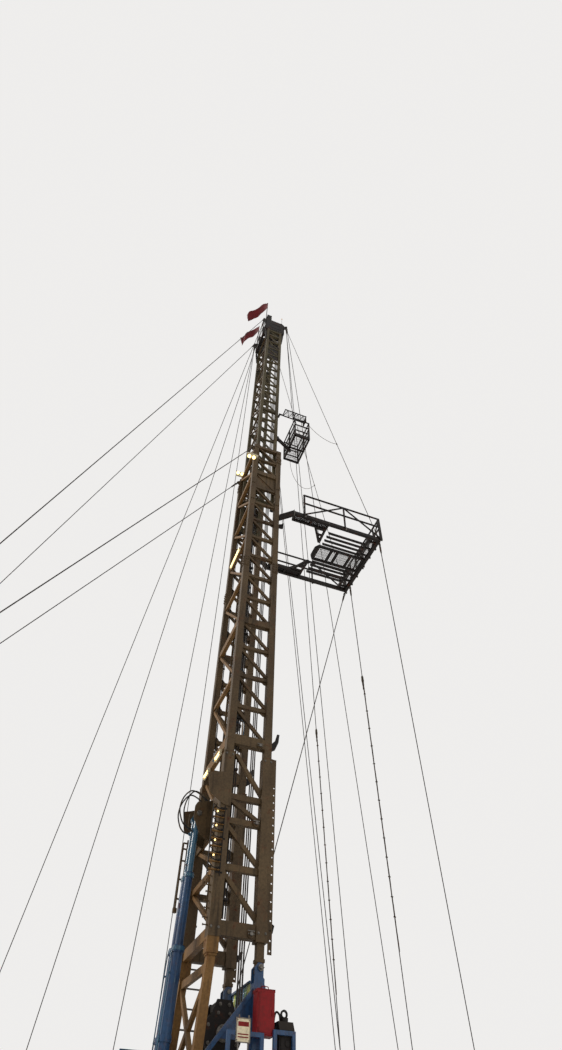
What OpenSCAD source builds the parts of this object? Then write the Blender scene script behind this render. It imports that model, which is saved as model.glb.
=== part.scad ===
// Guyed two-section rig mast standing on a base skid, with a racking board, a rod basket,
// raising rams, a travelling block on its drill lines and guy lines run to ground anchors.
// Frame: origin on the ground under the middle of the mast, +Z up, +X towards the well side,
// +Y across the mast to its far side.  All sizes in millimetres.

/* [Mast] */
// Spacing of the lower leg centres across the mast
mast_w = 1560; // [1530:10:1590]
// Spacing of the lower leg centres from the back to the well side
mast_d = 780; // [770:5:800]
// Height of the lower leg shoes above the ground
foot_z = 4090; // [4040:10:4140]
// Height of one lattice bay of the lower section
low_bay = 765; // [763:1:767]
// Height of one lattice bay of the upper section
up_bay = 700; // [698:1:702]
// Side of the square lower legs
leg = 150; // [144:2:156]
// Side of the square upper legs
up_leg = 110; // [104:2:114]
// Side of the lattice bars
bar = 60; // [50:2:66]

/* [Crown] */
// Height of the underside of the crown frame
crown_z = 29000; // [28960:10:29040]
// Radius of the crown sheaves
sheave_r = 300; // [285:5:305]
// Distance of the sheave shaft from the mast's middle, towards the well side
hoist_x = 60; // [55:5:75]

/* [Racking board] */
// Height of the racking board floor
board_z = 15000; // [14960:10:15040]
// Distance of the board's outer beam from the mast's middle
board_x = 3510; // [3450:10:3600]
// Distance of the board's side beams from the mast's middle plane
board_y = 1180; // [1160:5:1200]
// Number of fingers on each side of the diving board
fingers = 4; // [3:1:5]
// Height of the board's handrail
rail_h = 950; // [900:10:1000]

/* [Rod basket] */
// Height of the rod basket floor
basket_z = 19770; // [19740:10:19800]
// Distance of the basket's outer side from the mast's middle
basket_x = 1500; // [1460:10:1550]

/* [Hoist] */
// Height of the hook's lowest point at rest
hook_z = 2500; // [2480:10:2530]
// Diameter of the drill line
line_d = 26; // [22:1:30]

/* [Rams] */
// Outer diameter of the ram barrels
ram_d = 170; // [160:2:180]
// Distance between the middles of the two rams
ram_gap = 220; // [214:2:240]

/* [Base] */
// Height of the skid beams
skid_h = 300; // [260:10:320]
// Height of the working floor
floor_z = 2300; // [2260:10:2340]
// Diameter of the guy lines
guy_d = 24; // [20:1:30]

/* [Hidden] */
lx = mast_d / 2;                      // lower leg centre, towards the well
ly = mast_w / 2;                      // lower leg centre, across
hl = leg / 2;
slide_gap = 10;                       // running gap between the two sections
hu = up_leg / 2;
ux = lx - 90;                         // upper leg centre, towards the well
uy = ly - hl - hu - slide_gap;        // upper leg centre, across
thick = leg + 44;                     // side of the heavy lower leg ends
ht = thick / 2;
thick_z = 7500;                       // top of the heavy leg ends
shoe_h = 380;                         // length of the narrower leg shoes
knee_z = foot_z + shoe_h;             // underside of the heavy leg ends
girt_z = 4600;                         // lowest beam of the side lattices
band_z = 7790;                        // first of the even lattice bays
low_bays = 14;
low_top = band_z + low_bays * low_bay;
lock_z = 15600;                       // underside of the upper legs
up_z = 15800;                         // first of the even upper bays
up_bays = 18;
sheave_z = crown_z + 950;             // height of the sheave shaft
rope_r = sheave_r - 6;                // radius at which the line lies
block_z = hook_z + 950;               // middle of the block's sheaves
steel_gap = 0.3;                      // gap of the line to the block's sheaves
grey = [0.42, 0.40, 0.36];
bronze = [0.36, 0.29, 0.20];
tan_paint = [0.55, 0.40, 0.22];
blue = [0.13, 0.24, 0.42];
dark = [0.13, 0.12, 0.12];
red = [0.55, 0.03, 0.08];
cream = [0.80, 0.72, 0.58];
wire = [0.30, 0.29, 0.28];

// a straight bar between two points, s tall where it lies level and t wide
module strut(a, b, s, t = 0) {
  v = b - a;
  len = norm(v);
  w = t > 0 ? t : s;
  translate(a)
    rotate([0, acos(v[2] / len), atan2(v[1], v[0])])
      translate([-s / 2, -w / 2, 0])
        cube([s, w, len]);
}

// a straight round rod between two points
module rod(a, b, d) {
  v = b - a;
  len = norm(v);
  translate(a)
    rotate([0, acos(v[2] / len), atan2(v[1], v[0])])
      cylinder(h = len, d = d, $fn = 24);
}

// the child and its mirror image on the other side of the mast
module both_sides() {
  children();
  mirror([0, 1, 0]) children();
}

// a box given by two opposite corners
module box(a, b) {
  translate(a) cube(b - a);
}

// a disc across the mast, with its middle at p
module disc(p, w, d) {
  translate(p) rotate([90, 0, 0]) cylinder(h = w, d = d, center = true, $fn = 48);
}

// a plate that stands along the mast, from y to y + w, with its outline in x and z
module side_plate(y, w, points) {
  translate([0, y + w, 0])
    rotate([90, 0, 0])
      linear_extrude(w) polygon(points);
}

// a square tube standing on z0
module tube(s, t, z0, z1) {
  translate([0, 0, z0])
    linear_extrude(z1 - z0)
      difference() {
        square(s, center = true);
        square(s - 2 * t, center = true);
      }
}

// Base: a skid of wide-flange beams
skid_x0 = -1300;
skid_x1 = 1500;
skid_y = 1300;
skid_b = 200;                         // width of the beams
flange_t = 24;
web_t = 20;
ram_foot_x = -lx - 460;
back_foot_x = -lx - 250;
module wide_flange(len, h, b) {
  rotate([90, 0, 90])
    linear_extrude(len)
      union() {
        translate([-b / 2, 0]) square([b, flange_t]);
        translate([-b / 2, h - flange_t]) square([b, flange_t]);
        translate([-web_t / 2, 0]) square([web_t, h]);
      }
}
module base_skid() {
  color(blue) {
    both_sides()
      translate([skid_x0, skid_y - skid_b / 2, 0])
        wide_flange(skid_x1 - skid_x0, skid_h, skid_b);
    for (x = [skid_x0 + 100, 0, lx, skid_x1 - 100])
      box([x - 90, -skid_y + skid_b, 0], [x + 90, skid_y - skid_b, skid_h]);
    box([ram_foot_x - 90, -skid_y + skid_b, 0], [back_foot_x + 90, skid_y - skid_b, skid_h]);
    for (x = [skid_x0, ram_foot_x - 90, -90, lx - 90, skid_x1 - 190])
      both_sides()
        box([x, skid_y - skid_b, 0], [x + 190, skid_y - 20, skid_h]);
  }
}

post = 180;
pivot_z0 = foot_z - 380;              // top of the posts
pin_d = 60;
pin_z = foot_z + 55;
web_top = foot_z - 130;               // top of the web between the cheek plates
module mast_posts() {
  color(blue)
    both_sides() {
      translate([lx, ly, 0]) tube(post, 12, skid_h, pivot_z0 - 20);
      box([lx - post / 2, ly - post / 2, pivot_z0 - 20], [lx + post / 2, ly + post / 2, pivot_z0]);
    }
}

// stepped cheek plates that take the leg shoes on their pins
module pivot_brackets() {
  outline = [[lx - 90, pivot_z0], [lx + 90, pivot_z0], [lx + 90, pivot_z0 + 200],
    [lx + 70, pivot_z0 + 240], [lx + 70, pivot_z0 + 300], [lx + 50, pivot_z0 + 320],
    [lx + 50, foot_z + 100],
    [lx + 20, foot_z + 120], [lx - 40, foot_z + 120], [lx - 90, foot_z + 60]];
  color(blue)
    both_sides()
      difference() {
        union() {
          side_plate(ly - 90, 30, outline);
          side_plate(ly + 60, 30, outline);
          box([lx - 90, ly - 60, pivot_z0], [lx + 90, ly + 60, pivot_z0 + 40]);
          box([lx - 90, ly - 60, pivot_z0], [lx - 70, ly + 60, web_top]);
        }
        disc([lx, ly, pin_z], 200, pin_d + 0.1);
      }
}
module pivot_pins() {
  color(grey)
    both_sides() {
      disc([lx, ly, pin_z], 210, pin_d);
      disc([lx, ly + 110, pin_z], 12, pin_d + 30);
    }
}

// feet of the back legs, leaning away from the well
boot_z = knee_z - 210;
back_top = [-lx, ly, boot_z];
back_low = [back_foot_x, ly, skid_h];
module back_leg_tube() {
  intersection() {
    strut(back_low + 0.2 * (back_low - back_top), back_top + 0.2 * (back_top - back_low), 130, 120);
    box([-2000, 0, skid_h], [0, 2000, boot_z]);
  }
}
module back_base_legs() {
  color(tan_paint)
    both_sides() {
      back_leg_tube();
      box([-lx - 97, ly - 90, boot_z], [-lx + 90, ly + 90, knee_z]);
      box([-lx - 80, ly - 75, boot_z - 30], [-lx + 75, ly + 75, boot_z]);
    }
}

// middle of a back base leg at height z
function back_leg_x(z) = back_foot_x + (z - skid_h) / (boot_z - skid_h) * (-lx - back_foot_x);
module base_leg_braces() {
  x_top = back_leg_x(4100);
  x_mid = back_leg_x(3000);
  color(tan_paint)
    intersection() {
      union() {
        strut([x_top, -ly, 4000], [x_mid, ly, 2850], 80, 60);
        strut([x_top, ly, 4120], [x_mid, -ly, 2850], 80, 60);
        strut([x_top, -ly, 4110], [x_top, ly, 4160], 110, 60);
        strut([x_mid, -ly, 2800], [x_mid, ly, 2800], 100, 60);
        strut([x_mid, -ly, 2750], [back_leg_x(700), ly, 700], 80, 60);
        strut([x_mid, ly, 2750], [back_leg_x(700), -ly, 700], 80, 60);
      }
      box([-2000, -ly + 60, 0], [0, ly - 60, 5000]);
    }
}

// diagonal braces with a web plate, from the posts down to the back legs
module base_braces() {
  top = [lx - post / 2, ly, 3860];
  low = [-lx - 97, ly, 2960];
  color(blue)
    both_sides()
      difference() {
        union() {
          intersection() {
            strut(low + 0.1 * (low - top), top + 0.1 * (top - low), 60, 60);
            box([-2000, 0, skid_h], [lx - post / 2, 2000, web_top]);
          }
          side_plate(ly - 6, 12, [[lx - post / 2, 3850], [lx - post / 2, 3300], [-185, 3300]]);
        }
        back_leg_tube();
      }
}

post_gap = 3;
floor_gap = ly - 130;                 // half the width of the opening in the floor
module working_floor() {
  color(blue)
    difference() {
      box([-1200, -1280, floor_z - 60], [1500, 1280, floor_z]);
      box([ram_foot_x - 150, -floor_gap, floor_z - 61], [lx + 500, floor_gap, floor_z + 1]);
      both_sides() {
        box([lx - post / 2 - post_gap, ly - post / 2 - post_gap, 0],
          [lx + post / 2 + post_gap, ly + post / 2 + post_gap, foot_z]);
        box([-900, ly - 90, 0], [-lx, ly + 90, foot_z]);
      }
    }
  color(blue)
    both_sides()
      for (x = [-1150, 1450])
        box([x - 50, 1140, skid_h], [x + 50, 1240, floor_z - 60]);
}

rail_y = 1200;
rail_s = 50;
module rail_panel(x0, x1, h) {
  y = -rail_y - rail_s / 2;
  box([x0, y, floor_z], [x0 + rail_s, y + rail_s, floor_z + h]);
  box([x1 - rail_s, y, floor_z], [x1, y + rail_s, floor_z + h]);
  for (z = [h - rail_s, h / 2])
    box([x0, y, floor_z + z], [x1, y + rail_s, floor_z + z + rail_s]);
}
module floor_handrails() {
  color(blue)
    both_sides() {
      rail_panel(-180, 350, 1030);
      rail_panel(490, 820, 1080);
    }
  color(blue)
    mirror([0, 1, 0]) {
      rail_panel(900, 1480, 1080);
      rail_panel(-1180, -300, 1080);
    }
}

ladder_x0 = -450;
ladder_x1 = 50;
ladder_y = ly + 220;
module floor_ladder() {
  color(grey) {
    for (x = [ladder_x0, ladder_x1 - 40])
      box([x, ladder_y, floor_z], [x + 40, ladder_y + 40, 4520]);
    for (z = [floor_z + 270 : 270 : 4480])
      translate([ladder_x0 + 20, ladder_y + 20, z])
        rotate([0, 90, 0]) cylinder(h = ladder_x1 - ladder_x0 - 40, d = 26, $fn = 24);
  }
}

box_y = -rail_y + rail_s / 2 + 10;    // near face of the tool box
module tool_box() {
  color(red) {
    box([255, box_y, 3310], [520, box_y + 180, 3815]);
    box([247, box_y + 5, 3800], [528, box_y + 185, 3830]);
    box([300, box_y + 180, 3500], [450, -ly - post / 2, 3560]);
  }
}

module sign_panel() {
  y = -rail_y - rail_s / 2;
  color(cream) box([-60, y - 12, 3205], [145, y, 3465]);
}

strip_y = [700, 1100];
module wind_strip() {
  color([0.60, 0.68, 0.30]) box([590, 150, 3980], [600, 1280, 4180]);
  color(blue) {
    for (z = [3950, 4180])
      box([560, 150, z], [600, 1280, z + 30]);
    for (y = strip_y)
      box([560, y, floor_z], [590, y + 50, 4210]);
  }
}

module tong_unit() {
  color(dark) {
    box([600, -1160, floor_z], [830, -900, 3400]);
    translate([600, -1160, 3400])
      rotate([90, 0, 90])
        linear_extrude(230) polygon([[0, 0], [260, 0], [200, 100], [60, 100]]);
    translate([715, -1030, 3500]) cylinder(h = 50, d = 120, $fn = 32);
    difference() {
      disc([715, -1030, 3590], 24, 110);
      disc([715, -1030, 3590], 26, 60);
    }
  }
}

// Lower section
module leg_profile() {
  tube(leg, 10, thick_z, low_top);
  tube(thick, 16, knee_z, thick_z);
  tube(thick, 32, thick_z - 20, thick_z);
}

hole_pitch = 135;
hole_n = 20;
hole_d = 28;
hole_z = knee_z - 100;
flange_w = 70;
leg_flange_t = 14;
module holed_flange() {
  difference() {
    box([ht, ht - leg_flange_t, knee_z - 150], [ht + flange_w, ht, thick_z]);
    for (i = [0 : hole_n - 1])
      translate([ht + flange_w * 0.55, ht + 1, hole_z + i * hole_pitch])
        rotate([90, 0, 0]) cylinder(h = leg_flange_t + 2, d = hole_d, $fn = 32);
  }
}

shoe = 120;
module leg_back() {
  color(bronze) leg_profile();
}
module leg_well() {
  color(bronze)
    difference() {
      union() {
        leg_profile();
        holed_flange();
        tube(shoe, 14, foot_z, knee_z);
        tube(thick, (thick - shoe) / 2 + 14, knee_z, knee_z + 20);
        tube(shoe + 24, 12, foot_z + 130, foot_z + 175);
      }
      disc([0, 0, pin_z], shoe + 20, pin_d + 0.1);
    }
}
module leg_near_back() { translate([-lx, -ly, 0]) mirror([0, 1, 0]) leg_back(); }
module leg_far_back() { translate([-lx, ly, 0]) leg_back(); }
module leg_near_well() { translate([lx, -ly, 0]) mirror([0, 1, 0]) leg_well(); }
module leg_far_well() { translate([lx, ly, 0]) leg_well(); }

// a level beam of the side lattice at height z, h tall and w wide
module side_beam(z, h, w) {
  box([-lx, ly - w / 2, z - h / 2], [lx, ly + w / 2, z + h / 2]);
}
boss_x = 210;
module pin_boss(z) {
  translate([boss_x, ly + 95, z]) rotate([90, 0, 0]) cylinder(h = 100, d = 110, $fn = 40);
}

// side lattice between the back leg and the well leg, in the plane y = ly
module side_lattice() {
  x1 = lx - ht;
  x2 = lx - hl;
  intersection() {
    union() {
      for (i = [0 : low_bays - 1]) {
        z = band_z + i * low_bay;
        strut([-lx, ly, z + low_bay], [lx, ly, z], bar);
        side_beam(z, 80, 80);
      }
      side_beam(band_z + 4 * low_bay, 160, 140);
      side_beam(band_z + 12 * low_bay, 180, 120);
      side_beam(low_top - 60, 120, 120);
      side_beam(band_z, 200, 140);
      box([-lx, ly - 8, band_z + 11 * low_bay], [lx, ly + 8, band_z + 12 * low_bay]);
    }
    box([-x2, 0, thick_z], [x2, 2 * ly, low_top]);
  }
  intersection() {
    union() {
      side_beam(girt_z, 200, 140);
      for (z = [5480, 6240, 6670])
        side_beam(z, 100, 90);
      for (z = [[5480, 4700], [6240, 5480], [7700, 6670]])
        strut([-lx, ly, z[0]], [lx, ly, z[1]], bar + 10);
      strut([-lx, ly, 6670], [lx, ly, 6240], bar + 10);
    }
    box([-x1, 0, knee_z], [x1, 2 * ly, thick_z]);
  }
  for (z = [4560, 6240, 7730])
    pin_boss(z);
}
module lower_far_side() { color(bronze) side_lattice(); }
module lower_near_side() { color(bronze) mirror([0, 1, 0]) side_lattice(); }

// a level beam of the back lattice at height z, h tall
back_x = -lx - 10;                    // middle plane of the back lattice
module back_beam(z, h, w = 80) {
  box([back_x - w / 2, -ly, z - h / 2], [back_x + 40, ly, z + h / 2]);
}
module lower_back() {
  y1 = ly - ht;
  y2 = ly - hl;
  color(tan_paint) {
    intersection() {
      union() {
        for (i = [0 : 2 : low_bays - 2]) {
          z = band_z + i * low_bay;
          strut([back_x, ly, z + 2 * low_bay], [back_x, -ly, z], bar);
          back_beam(z, 80);
        }
        back_beam(low_top - 60, 120);
        back_beam(band_z + 4 * low_bay, 160, 100);
        back_beam(band_z + 12 * low_bay, 140, 100);
        back_beam(band_z, 200, 100);
      }
      box([-2 * lx, -y2, thick_z], [0, y2, low_top]);
    }
    intersection() {
      union() {
        for (z = [5500, 6230])
          back_beam(z, 90);
        back_beam(knee_z + 80, 160, 120);
        strut([back_x, ly, 6230], [back_x, -ly, 5500], bar);
        strut([back_x, ly, 7600], [back_x, -ly, 6230], bar);
        strut([back_x, ly, 5500], [back_x, -ly, 4640], bar);
      }
      box([-2 * lx, -y1, knee_z], [0, y1, thick_z]);
    }
  }
}

// plates on the back of the mast that carry the pin of the ram heads
ram_x = -lx - 300;
ram_head_z = 6530;
head_pin = 60;
module ram_gussets() {
  outer = [[-lx - 380, 6990], [-lx - 200, 7040], [-lx + 95, 7070], [-lx + 95, 6440],
    [-lx - 60, 6470], [-lx - 320, 6640]];
  inner = [[-lx - 60, 6080], [-lx - 60, 6810], [ram_x - 60, 6730], [ram_x - 95, 6660],
    [ram_x - 95, 6440], [ram_x + 60, 6160]];
  color(bronze) {
    both_sides() {
      side_plate(ly + ht, 16, outer);
      side_plate(190, 22, inner);
      box([-lx - 60, 190, 6140], [-lx - 50, 212, 6760]);
    }
    disc([ram_x, 0, ram_head_z], 440, head_pin);
    box([-lx - 70, -ly + ht, 6620], [-lx - 50, ly - ht, 6840]);
    box([-lx - 70, -ly + ht, 6120], [-lx - 50, ly - ht, 6220]);
  }
}

// upturned hooks on the well side of the well legs
module mast_hooks() {
  low = lx + ht;
  high = lx + hl;
  color(dark)
    both_sides() {
      side_plate(ly - 10, 20, [[low, 4590], [low, 4690], [low + 60, 4690], [low + 110, 4760],
        [low + 140, 4740], [low + 110, 4630], [low + 60, 4590]]);
      side_plate(ly - 12, 24, [[high, 7700], [high, 7860], [high + 90, 7960], [high + 130, 8110],
        [high + 180, 8110], [high + 160, 7930], [high + 90, 7760]]);
    }
}

// bar on standoffs behind the far back leg, with its holed plate
climb_x = -lx - 310;
climb_z0 = 5230;
climb_z1 = 6370;
module climbing_rail() {
  x_plate = -lx - 240;
  color(bronze) {
    difference() {
      box([x_plate, ly - 8, climb_z0 + 150], [-lx - ht, ly + 8, climb_z1 + 60]);
      for (i = [0 : 7])
        disc([x_plate + 35, ly, climb_z0 + 230 + i * 115], 20, 40);
    }
    translate([climb_x, ly, climb_z0]) cylinder(h = climb_z1 - climb_z0, d = 36, $fn = 32);
    translate([climb_x, ly, climb_z0 - 40]) cylinder(h = 70, d = 80, $fn = 32);
    for (z = [5400, 5720, 6040, 6250, climb_z1 - 15])
      box([climb_x, ly - 12, z], [x_plate + 10, ly + 12, z + 24]);
  }
}

// plates on the back legs that hold the middle guys
lug_x = -lx - hl - 55;
mid_lug_z = low_top - 150;
module guy_lugs() {
  color(bronze)
    both_sides()
      side_plate(ly - 10, 20, [[-lx - hl, mid_lug_z - 120], [-lx - hl, mid_lug_z + 110],
        [lug_x - 20, mid_lug_z + 50], [lug_x - 40, mid_lug_z], [lug_x - 20, mid_lug_z - 50]]);
}

// Raising rams: stages along a line that leans back to the ram head pin
ram_foot = [ram_foot_x, 0, skid_h + 120];
ram_dir = [ram_x, 0, ram_head_z] - ram_foot;
ram_len = norm(ram_dir);
ram_tilt = atan2(ram_dir[0], ram_dir[2]);
seal_gap = 0.1;
stage_a = 4060;                       // end of the barrel, from the foot pin
stage_b = 5130;                       // end of the middle stage
module on_rams() {
  for (s = [-1, 1])
    translate(ram_foot + [0, s * ram_gap / 2, 0])
      rotate([0, ram_tilt, 0]) children();
}
module stage(z0, z1, d) {
  translate([0, 0, z0]) cylinder(h = z1 - z0, d = d, $fn = 48);
}
module ram_barrels() {
  color(blue) {
    on_rams() {
      stage(60, stage_a, ram_d);
      stage(stage_a - 90, stage_a, ram_d + 28);
      stage(2880, 2960, ram_d + 24);
      rotate([90, 0, 0]) cylinder(h = 90, d = 150, center = true, $fn = 40);
    }
    for (s = [-1, 1])
      box([ram_foot_x - 70, s * ram_gap / 2 - 60, skid_h],
        [ram_foot_x + 90, s * ram_gap / 2 + 60, skid_h + 90]);
  }
}
module ram_middle_stages() {
  color(blue)
    on_rams() {
      stage(stage_a + seal_gap, stage_b, ram_d * 0.80);
      stage(stage_b - 70, stage_b, ram_d * 0.92);
    }
}
module ram_inner_stages() {
  color(blue)
    on_rams()
      difference() {
        union() {
          stage(stage_b + seal_gap, ram_len - 30, ram_d * 0.60);
          translate([0, 0, ram_len])
            rotate([90, 0, 0]) cylinder(h = 90, d = 140, center = true, $fn = 40);
        }
        translate([0, 0, ram_len])
          rotate([90, 0, 0]) cylinder(h = 120, d = head_pin + 0.1, center = true, $fn = 48);
      }
}

// Upper section
module upper_legs() {
  color(bronze)
    for (x = [-ux, ux])
      both_sides()
        translate([x, uy, 0]) tube(up_leg, 8, lock_z, crown_z);
}

module up_beam(z, h, w) {
  box([-ux, uy - w / 2, z - h / 2], [ux, uy + w / 2, z + h / 2]);
}
module upper_side() {
  s = bar * 0.8;
  intersection() {
    union() {
      for (i = [0 : up_bays - 1]) {
        z = up_z + i * up_bay;
        strut([-ux, uy, z + up_bay], [ux, uy, z], s);
        up_beam(z, 60, 60);
      }
      up_beam(lock_z + 60, 120, 90);
      up_beam(up_z + 8 * up_bay, 150, 96);
      up_beam(up_z + up_bays * up_bay, 120, 90);
      up_beam(crown_z - 60, 120, 90);
      box([-ux, uy - 8, up_z + 14.5 * up_bay], [ux, uy + 8, up_z + 16.5 * up_bay]);
      strut([-ux, uy, crown_z - 60], [ux, uy, up_z + up_bays * up_bay], s);
    }
    box([-ux + hu, 0, lock_z], [ux - hu, 2 * uy, crown_z]);
  }
}
module upper_far_side() { color(bronze) upper_side(); }
module upper_near_side() { color(bronze) mirror([0, 1, 0]) upper_side(); }

module upper_back() {
  s = bar * 0.8;
  color(bronze)
    intersection() {
      union() {
        for (i = [0 : 2 : up_bays - 2]) {
          z = up_z + i * up_bay;
          strut([-ux, uy, z + 2 * up_bay], [-ux, -uy, z], s);
          box([-ux - 30, -uy, z - 30], [-ux + 24, uy, z + 30]);
        }
        box([-ux - 30, -uy, crown_z - 120], [-ux + 24, uy, crown_z]);
      }
      box([-2 * ux, -uy + hu, lock_z], [0, uy - hu, crown_z]);
    }
}

// pads that fill the gap between the sections
module guide_pads() {
  x0 = lx - hl + 2;
  x1 = ux + hu - 2;
  color(dark)
    both_sides()
      for (z = [lock_z + 700, low_top - 200]) {
        box([x0, uy + hu, z], [x1, ly - hl, z + 160]);
        box([-x1, uy + hu, z], [-x0, ly - hl, z + 160]);
      }
}

// brackets on the lower legs that the upper legs stand on
module lock_brackets() {
  x0 = ux - hu;
  x1 = lx - hl + 30;
  color(dark)
    both_sides() {
      box([x0, uy - hu, lock_z - 110], [x1, ly - hl, lock_z]);
      box([-x1, uy - hu, lock_z - 110], [-x0, ly - hl, lock_z]);
    }
}

ext_x = -ux + 90;
ext_y = -uy + 120;
ext_z0 = 8200;
ext_z1 = lock_z + 100;
module extension_cylinder() {
  color([0.22, 0.28, 0.36]) {
    translate([ext_x, ext_y, ext_z0]) cylinder(h = 4600, d = 110, $fn = 48);
    translate([ext_x, ext_y, ext_z0 + 4540]) cylinder(h = 60, d = 136, $fn = 48);
    translate([ext_x, ext_y, ext_z0 + 4600]) cylinder(h = ext_z1 - ext_z0 - 4600, d = 70, $fn = 48);
    box([-lx + hl - 30, -ly + hl, ext_z0 - 50], [ext_x + 55, ext_y + 55, ext_z0]);
    box([-ux, -uy + hu, ext_z1], [ext_x + 55, ext_y + 55, ext_z1 + 60]);
  }
}

// Crown
crown_x0 = -490;
crown_x1 = 480;
crown_h = 1150;
bear_y = 250;
plate_t = 14;
plate_y = uy + hu - plate_t;          // inner face of the side plates
module knee_brace(x_leg, x_end, y) {
  intersection() {
    strut([x_leg, y, 27900], [x_end, y, crown_z + 60], 70, 70);
    box([min(x_leg, x_end), y - 100, 27000], [max(x_leg, x_end), y + 100, crown_z]);
  }
}
module crown_frame() {
  side = [[crown_x0, crown_z], [crown_x1, crown_z], [crown_x1, crown_z + crown_h - 120],
    [crown_x1 - 120, crown_z + crown_h], [crown_x0 + 60, crown_z + crown_h],
    [crown_x0, crown_z + crown_h - 60]];
  color(dark)
    difference() {
      union() {
        both_sides() {
          box([crown_x0, uy - hu, crown_z], [crown_x1, uy + hu, crown_z + 180]);
          side_plate(plate_y, plate_t, side);
          box([crown_x0, bear_y, crown_z], [crown_x1, bear_y + 30, crown_z + 1090]);
          knee_brace(ux + hu, crown_x1 - 40, uy);
          knee_brace(-ux - hu, crown_x0 + 30, uy);
          side_plate(plate_y, plate_t, [[crown_x1, crown_z + 600], [crown_x1, crown_z + 960],
            [crown_x1 + 90, crown_z + 1080], [crown_x1 + 150, crown_z + 1060],
            [crown_x1 + 150, crown_z + 700]]);
          side_plate(plate_y, plate_t, [[crown_x0, crown_z + 560], [crown_x0, crown_z + 1080],
            [crown_x0 - 110, crown_z + 1060], [crown_x0 - 130, crown_z + 700]]);
          box([crown_x0, plate_y - 60, crown_z + crown_h - 80],
            [crown_x0 + 60, plate_y, crown_z + crown_h - 60]);
        }
        for (x = [[crown_x0, crown_x0 + 100], [crown_x1 - 100, crown_x1]])
          box([x[0], -uy, crown_z], [x[1], uy, crown_z + 180]);
        for (x = [crown_x0, crown_x1 - plate_t])
          box([x, -plate_y, crown_z + 760], [x + plate_t, plate_y, crown_z + 960]);
        box([-420, -plate_y, crown_z + 1070], [-170, -bear_y, crown_z + 1090]);
      }
      disc([hoist_x, 0, sheave_z], 2 * bear_y + 80, 90);
    }
}

module crown_beacon() {
  z = crown_z + 1090;
  color(dark) {
    box([-400, -plate_y, z], [-190, -plate_y + 210, z + 620]);
    box([-410, -plate_y, z + 620], [-180, -plate_y + 220, z + 650]);
    translate([340, -plate_y - plate_t / 2, crown_z + crown_h]) cylinder(h = 650, d = 12, $fn = 20);
  }
}

module sheave_shaft() {
  color(grey) disc([hoist_x, 0, sheave_z], 2 * bear_y + 60, 90);
}

sheave_pitch = 120;
sheave_ys = [-1.5 * sheave_pitch, -0.5 * sheave_pitch, 0.5 * sheave_pitch, 1.5 * sheave_pitch];
block_ys = [-sheave_pitch, 0, sheave_pitch];
module sheave(r, bore, w) {
  rotate([90, 0, 0])
    rotate_extrude($fn = 96)
      polygon([[bore, -w / 2], [bore + 40, -w / 2], [bore + 40, -w / 5], [r - 45, -w / 5],
        [r, -w / 2], [r - 22, 0], [r, w / 2], [r - 45, w / 5], [bore + 40, w / 5],
        [bore + 40, w / 2], [bore, w / 2]]);
}
module crown_sheaves() {
  color(grey)
    for (y = sheave_ys)
      translate([hoist_x, y, sheave_z]) sheave(sheave_r, 45.05, 76);
}

// Travelling block: cheek plates and spacers about three sheaves on one pin
cheek_y = 190;
cheek_t = 32;
module travelling_block() {
  r = rope_r - line_d / 2 - steel_gap;
  color(dark)
    translate([hoist_x, 0, block_z]) {
      for (y = [-cheek_y - cheek_t, cheek_y])
        translate([0, y + cheek_t, 0])
          rotate([90, 0, 0])
            linear_extrude(cheek_t)
              union() {
                circle(r = sheave_r, $fn = 96);
                polygon([[-sheave_r, 0], [sheave_r, 0], [110, -520], [-110, -520]]);
                polygon([[-200, 200], [200, 200], [120, 400], [-120, 400]]);
              }
      disc([0, 0, 0], 2 * cheek_y + 2 * cheek_t + 40, 110);
      for (y = block_ys)
        disc([0, y, 0], 60, 2 * r);
      for (y = [-60, 60])
        disc([0, y, 0], 60.2, 200);
      box([-110, -cheek_y, 300], [110, cheek_y, 380]);
      box([-110, -cheek_y, -520], [110, cheek_y, -420]);
    }
}

hook_r = 110;
hook_d = 84;
module hook() {
  mid = hook_r + hook_d / 2;
  color(dark)
    translate([hoist_x, 0, hook_z]) {
      translate([0, 0, 310]) cylinder(h = 120, d = 150, $fn = 48);
      translate([0, 0, mid + hook_r - 20]) cylinder(h = 310 - mid - hook_r + 20, d = 90, $fn = 48);
      difference() {
        translate([0, 0, mid])
          rotate([90, 0, 0])
            rotate_extrude($fn = 96) translate([hook_r, 0]) circle(d = hook_d, $fn = 40);
        box([-200, -100, mid], [-30, 100, mid + 200]);
      }
    }
}

module drill_lines() {
  color(wire)
    for (i = [0 : 2])
      for (side = [0, 1])
        rod([hoist_x + (1 - 2 * side) * rope_r, block_ys[i], block_z],
          [hoist_x + (1 - 2 * side) * rope_r, sheave_ys[i + side], sheave_z], line_d);
}

// Racking board
side_x = lx + 410;                    // start of the side beams
side_w = 80;
beam_y = board_y - 40;                // inner face of the side beams
walk_y = board_y - 250;               // inner face of the walkways
walk_x = side_x + 1130;               // end of the walkways
finger_x0 = side_x + 1270;
finger_x1 = board_x - 270;
dive_y = 300;
module board_arms() {
  color(dark)
    both_sides() {
      intersection() {
        strut([lx - hl, ly - 60, board_z], [side_x + 60, board_y + 40, board_z], 240, 50);
        box([lx + hl, 0, board_z - 200], [side_x, 2000, board_z + 200]);
      }
      side_plate(ly - 12, 24, [[lx + hl, board_z - 380], [lx + hl, board_z - 250],
        [lx + hl + 130, board_z - 160], [lx + hl + 130, board_z - 119], [lx + hl + 165, board_z - 119],
        [lx + hl + 165, board_z - 330], [lx + hl + 110, board_z - 380]]);
    }
}

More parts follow.
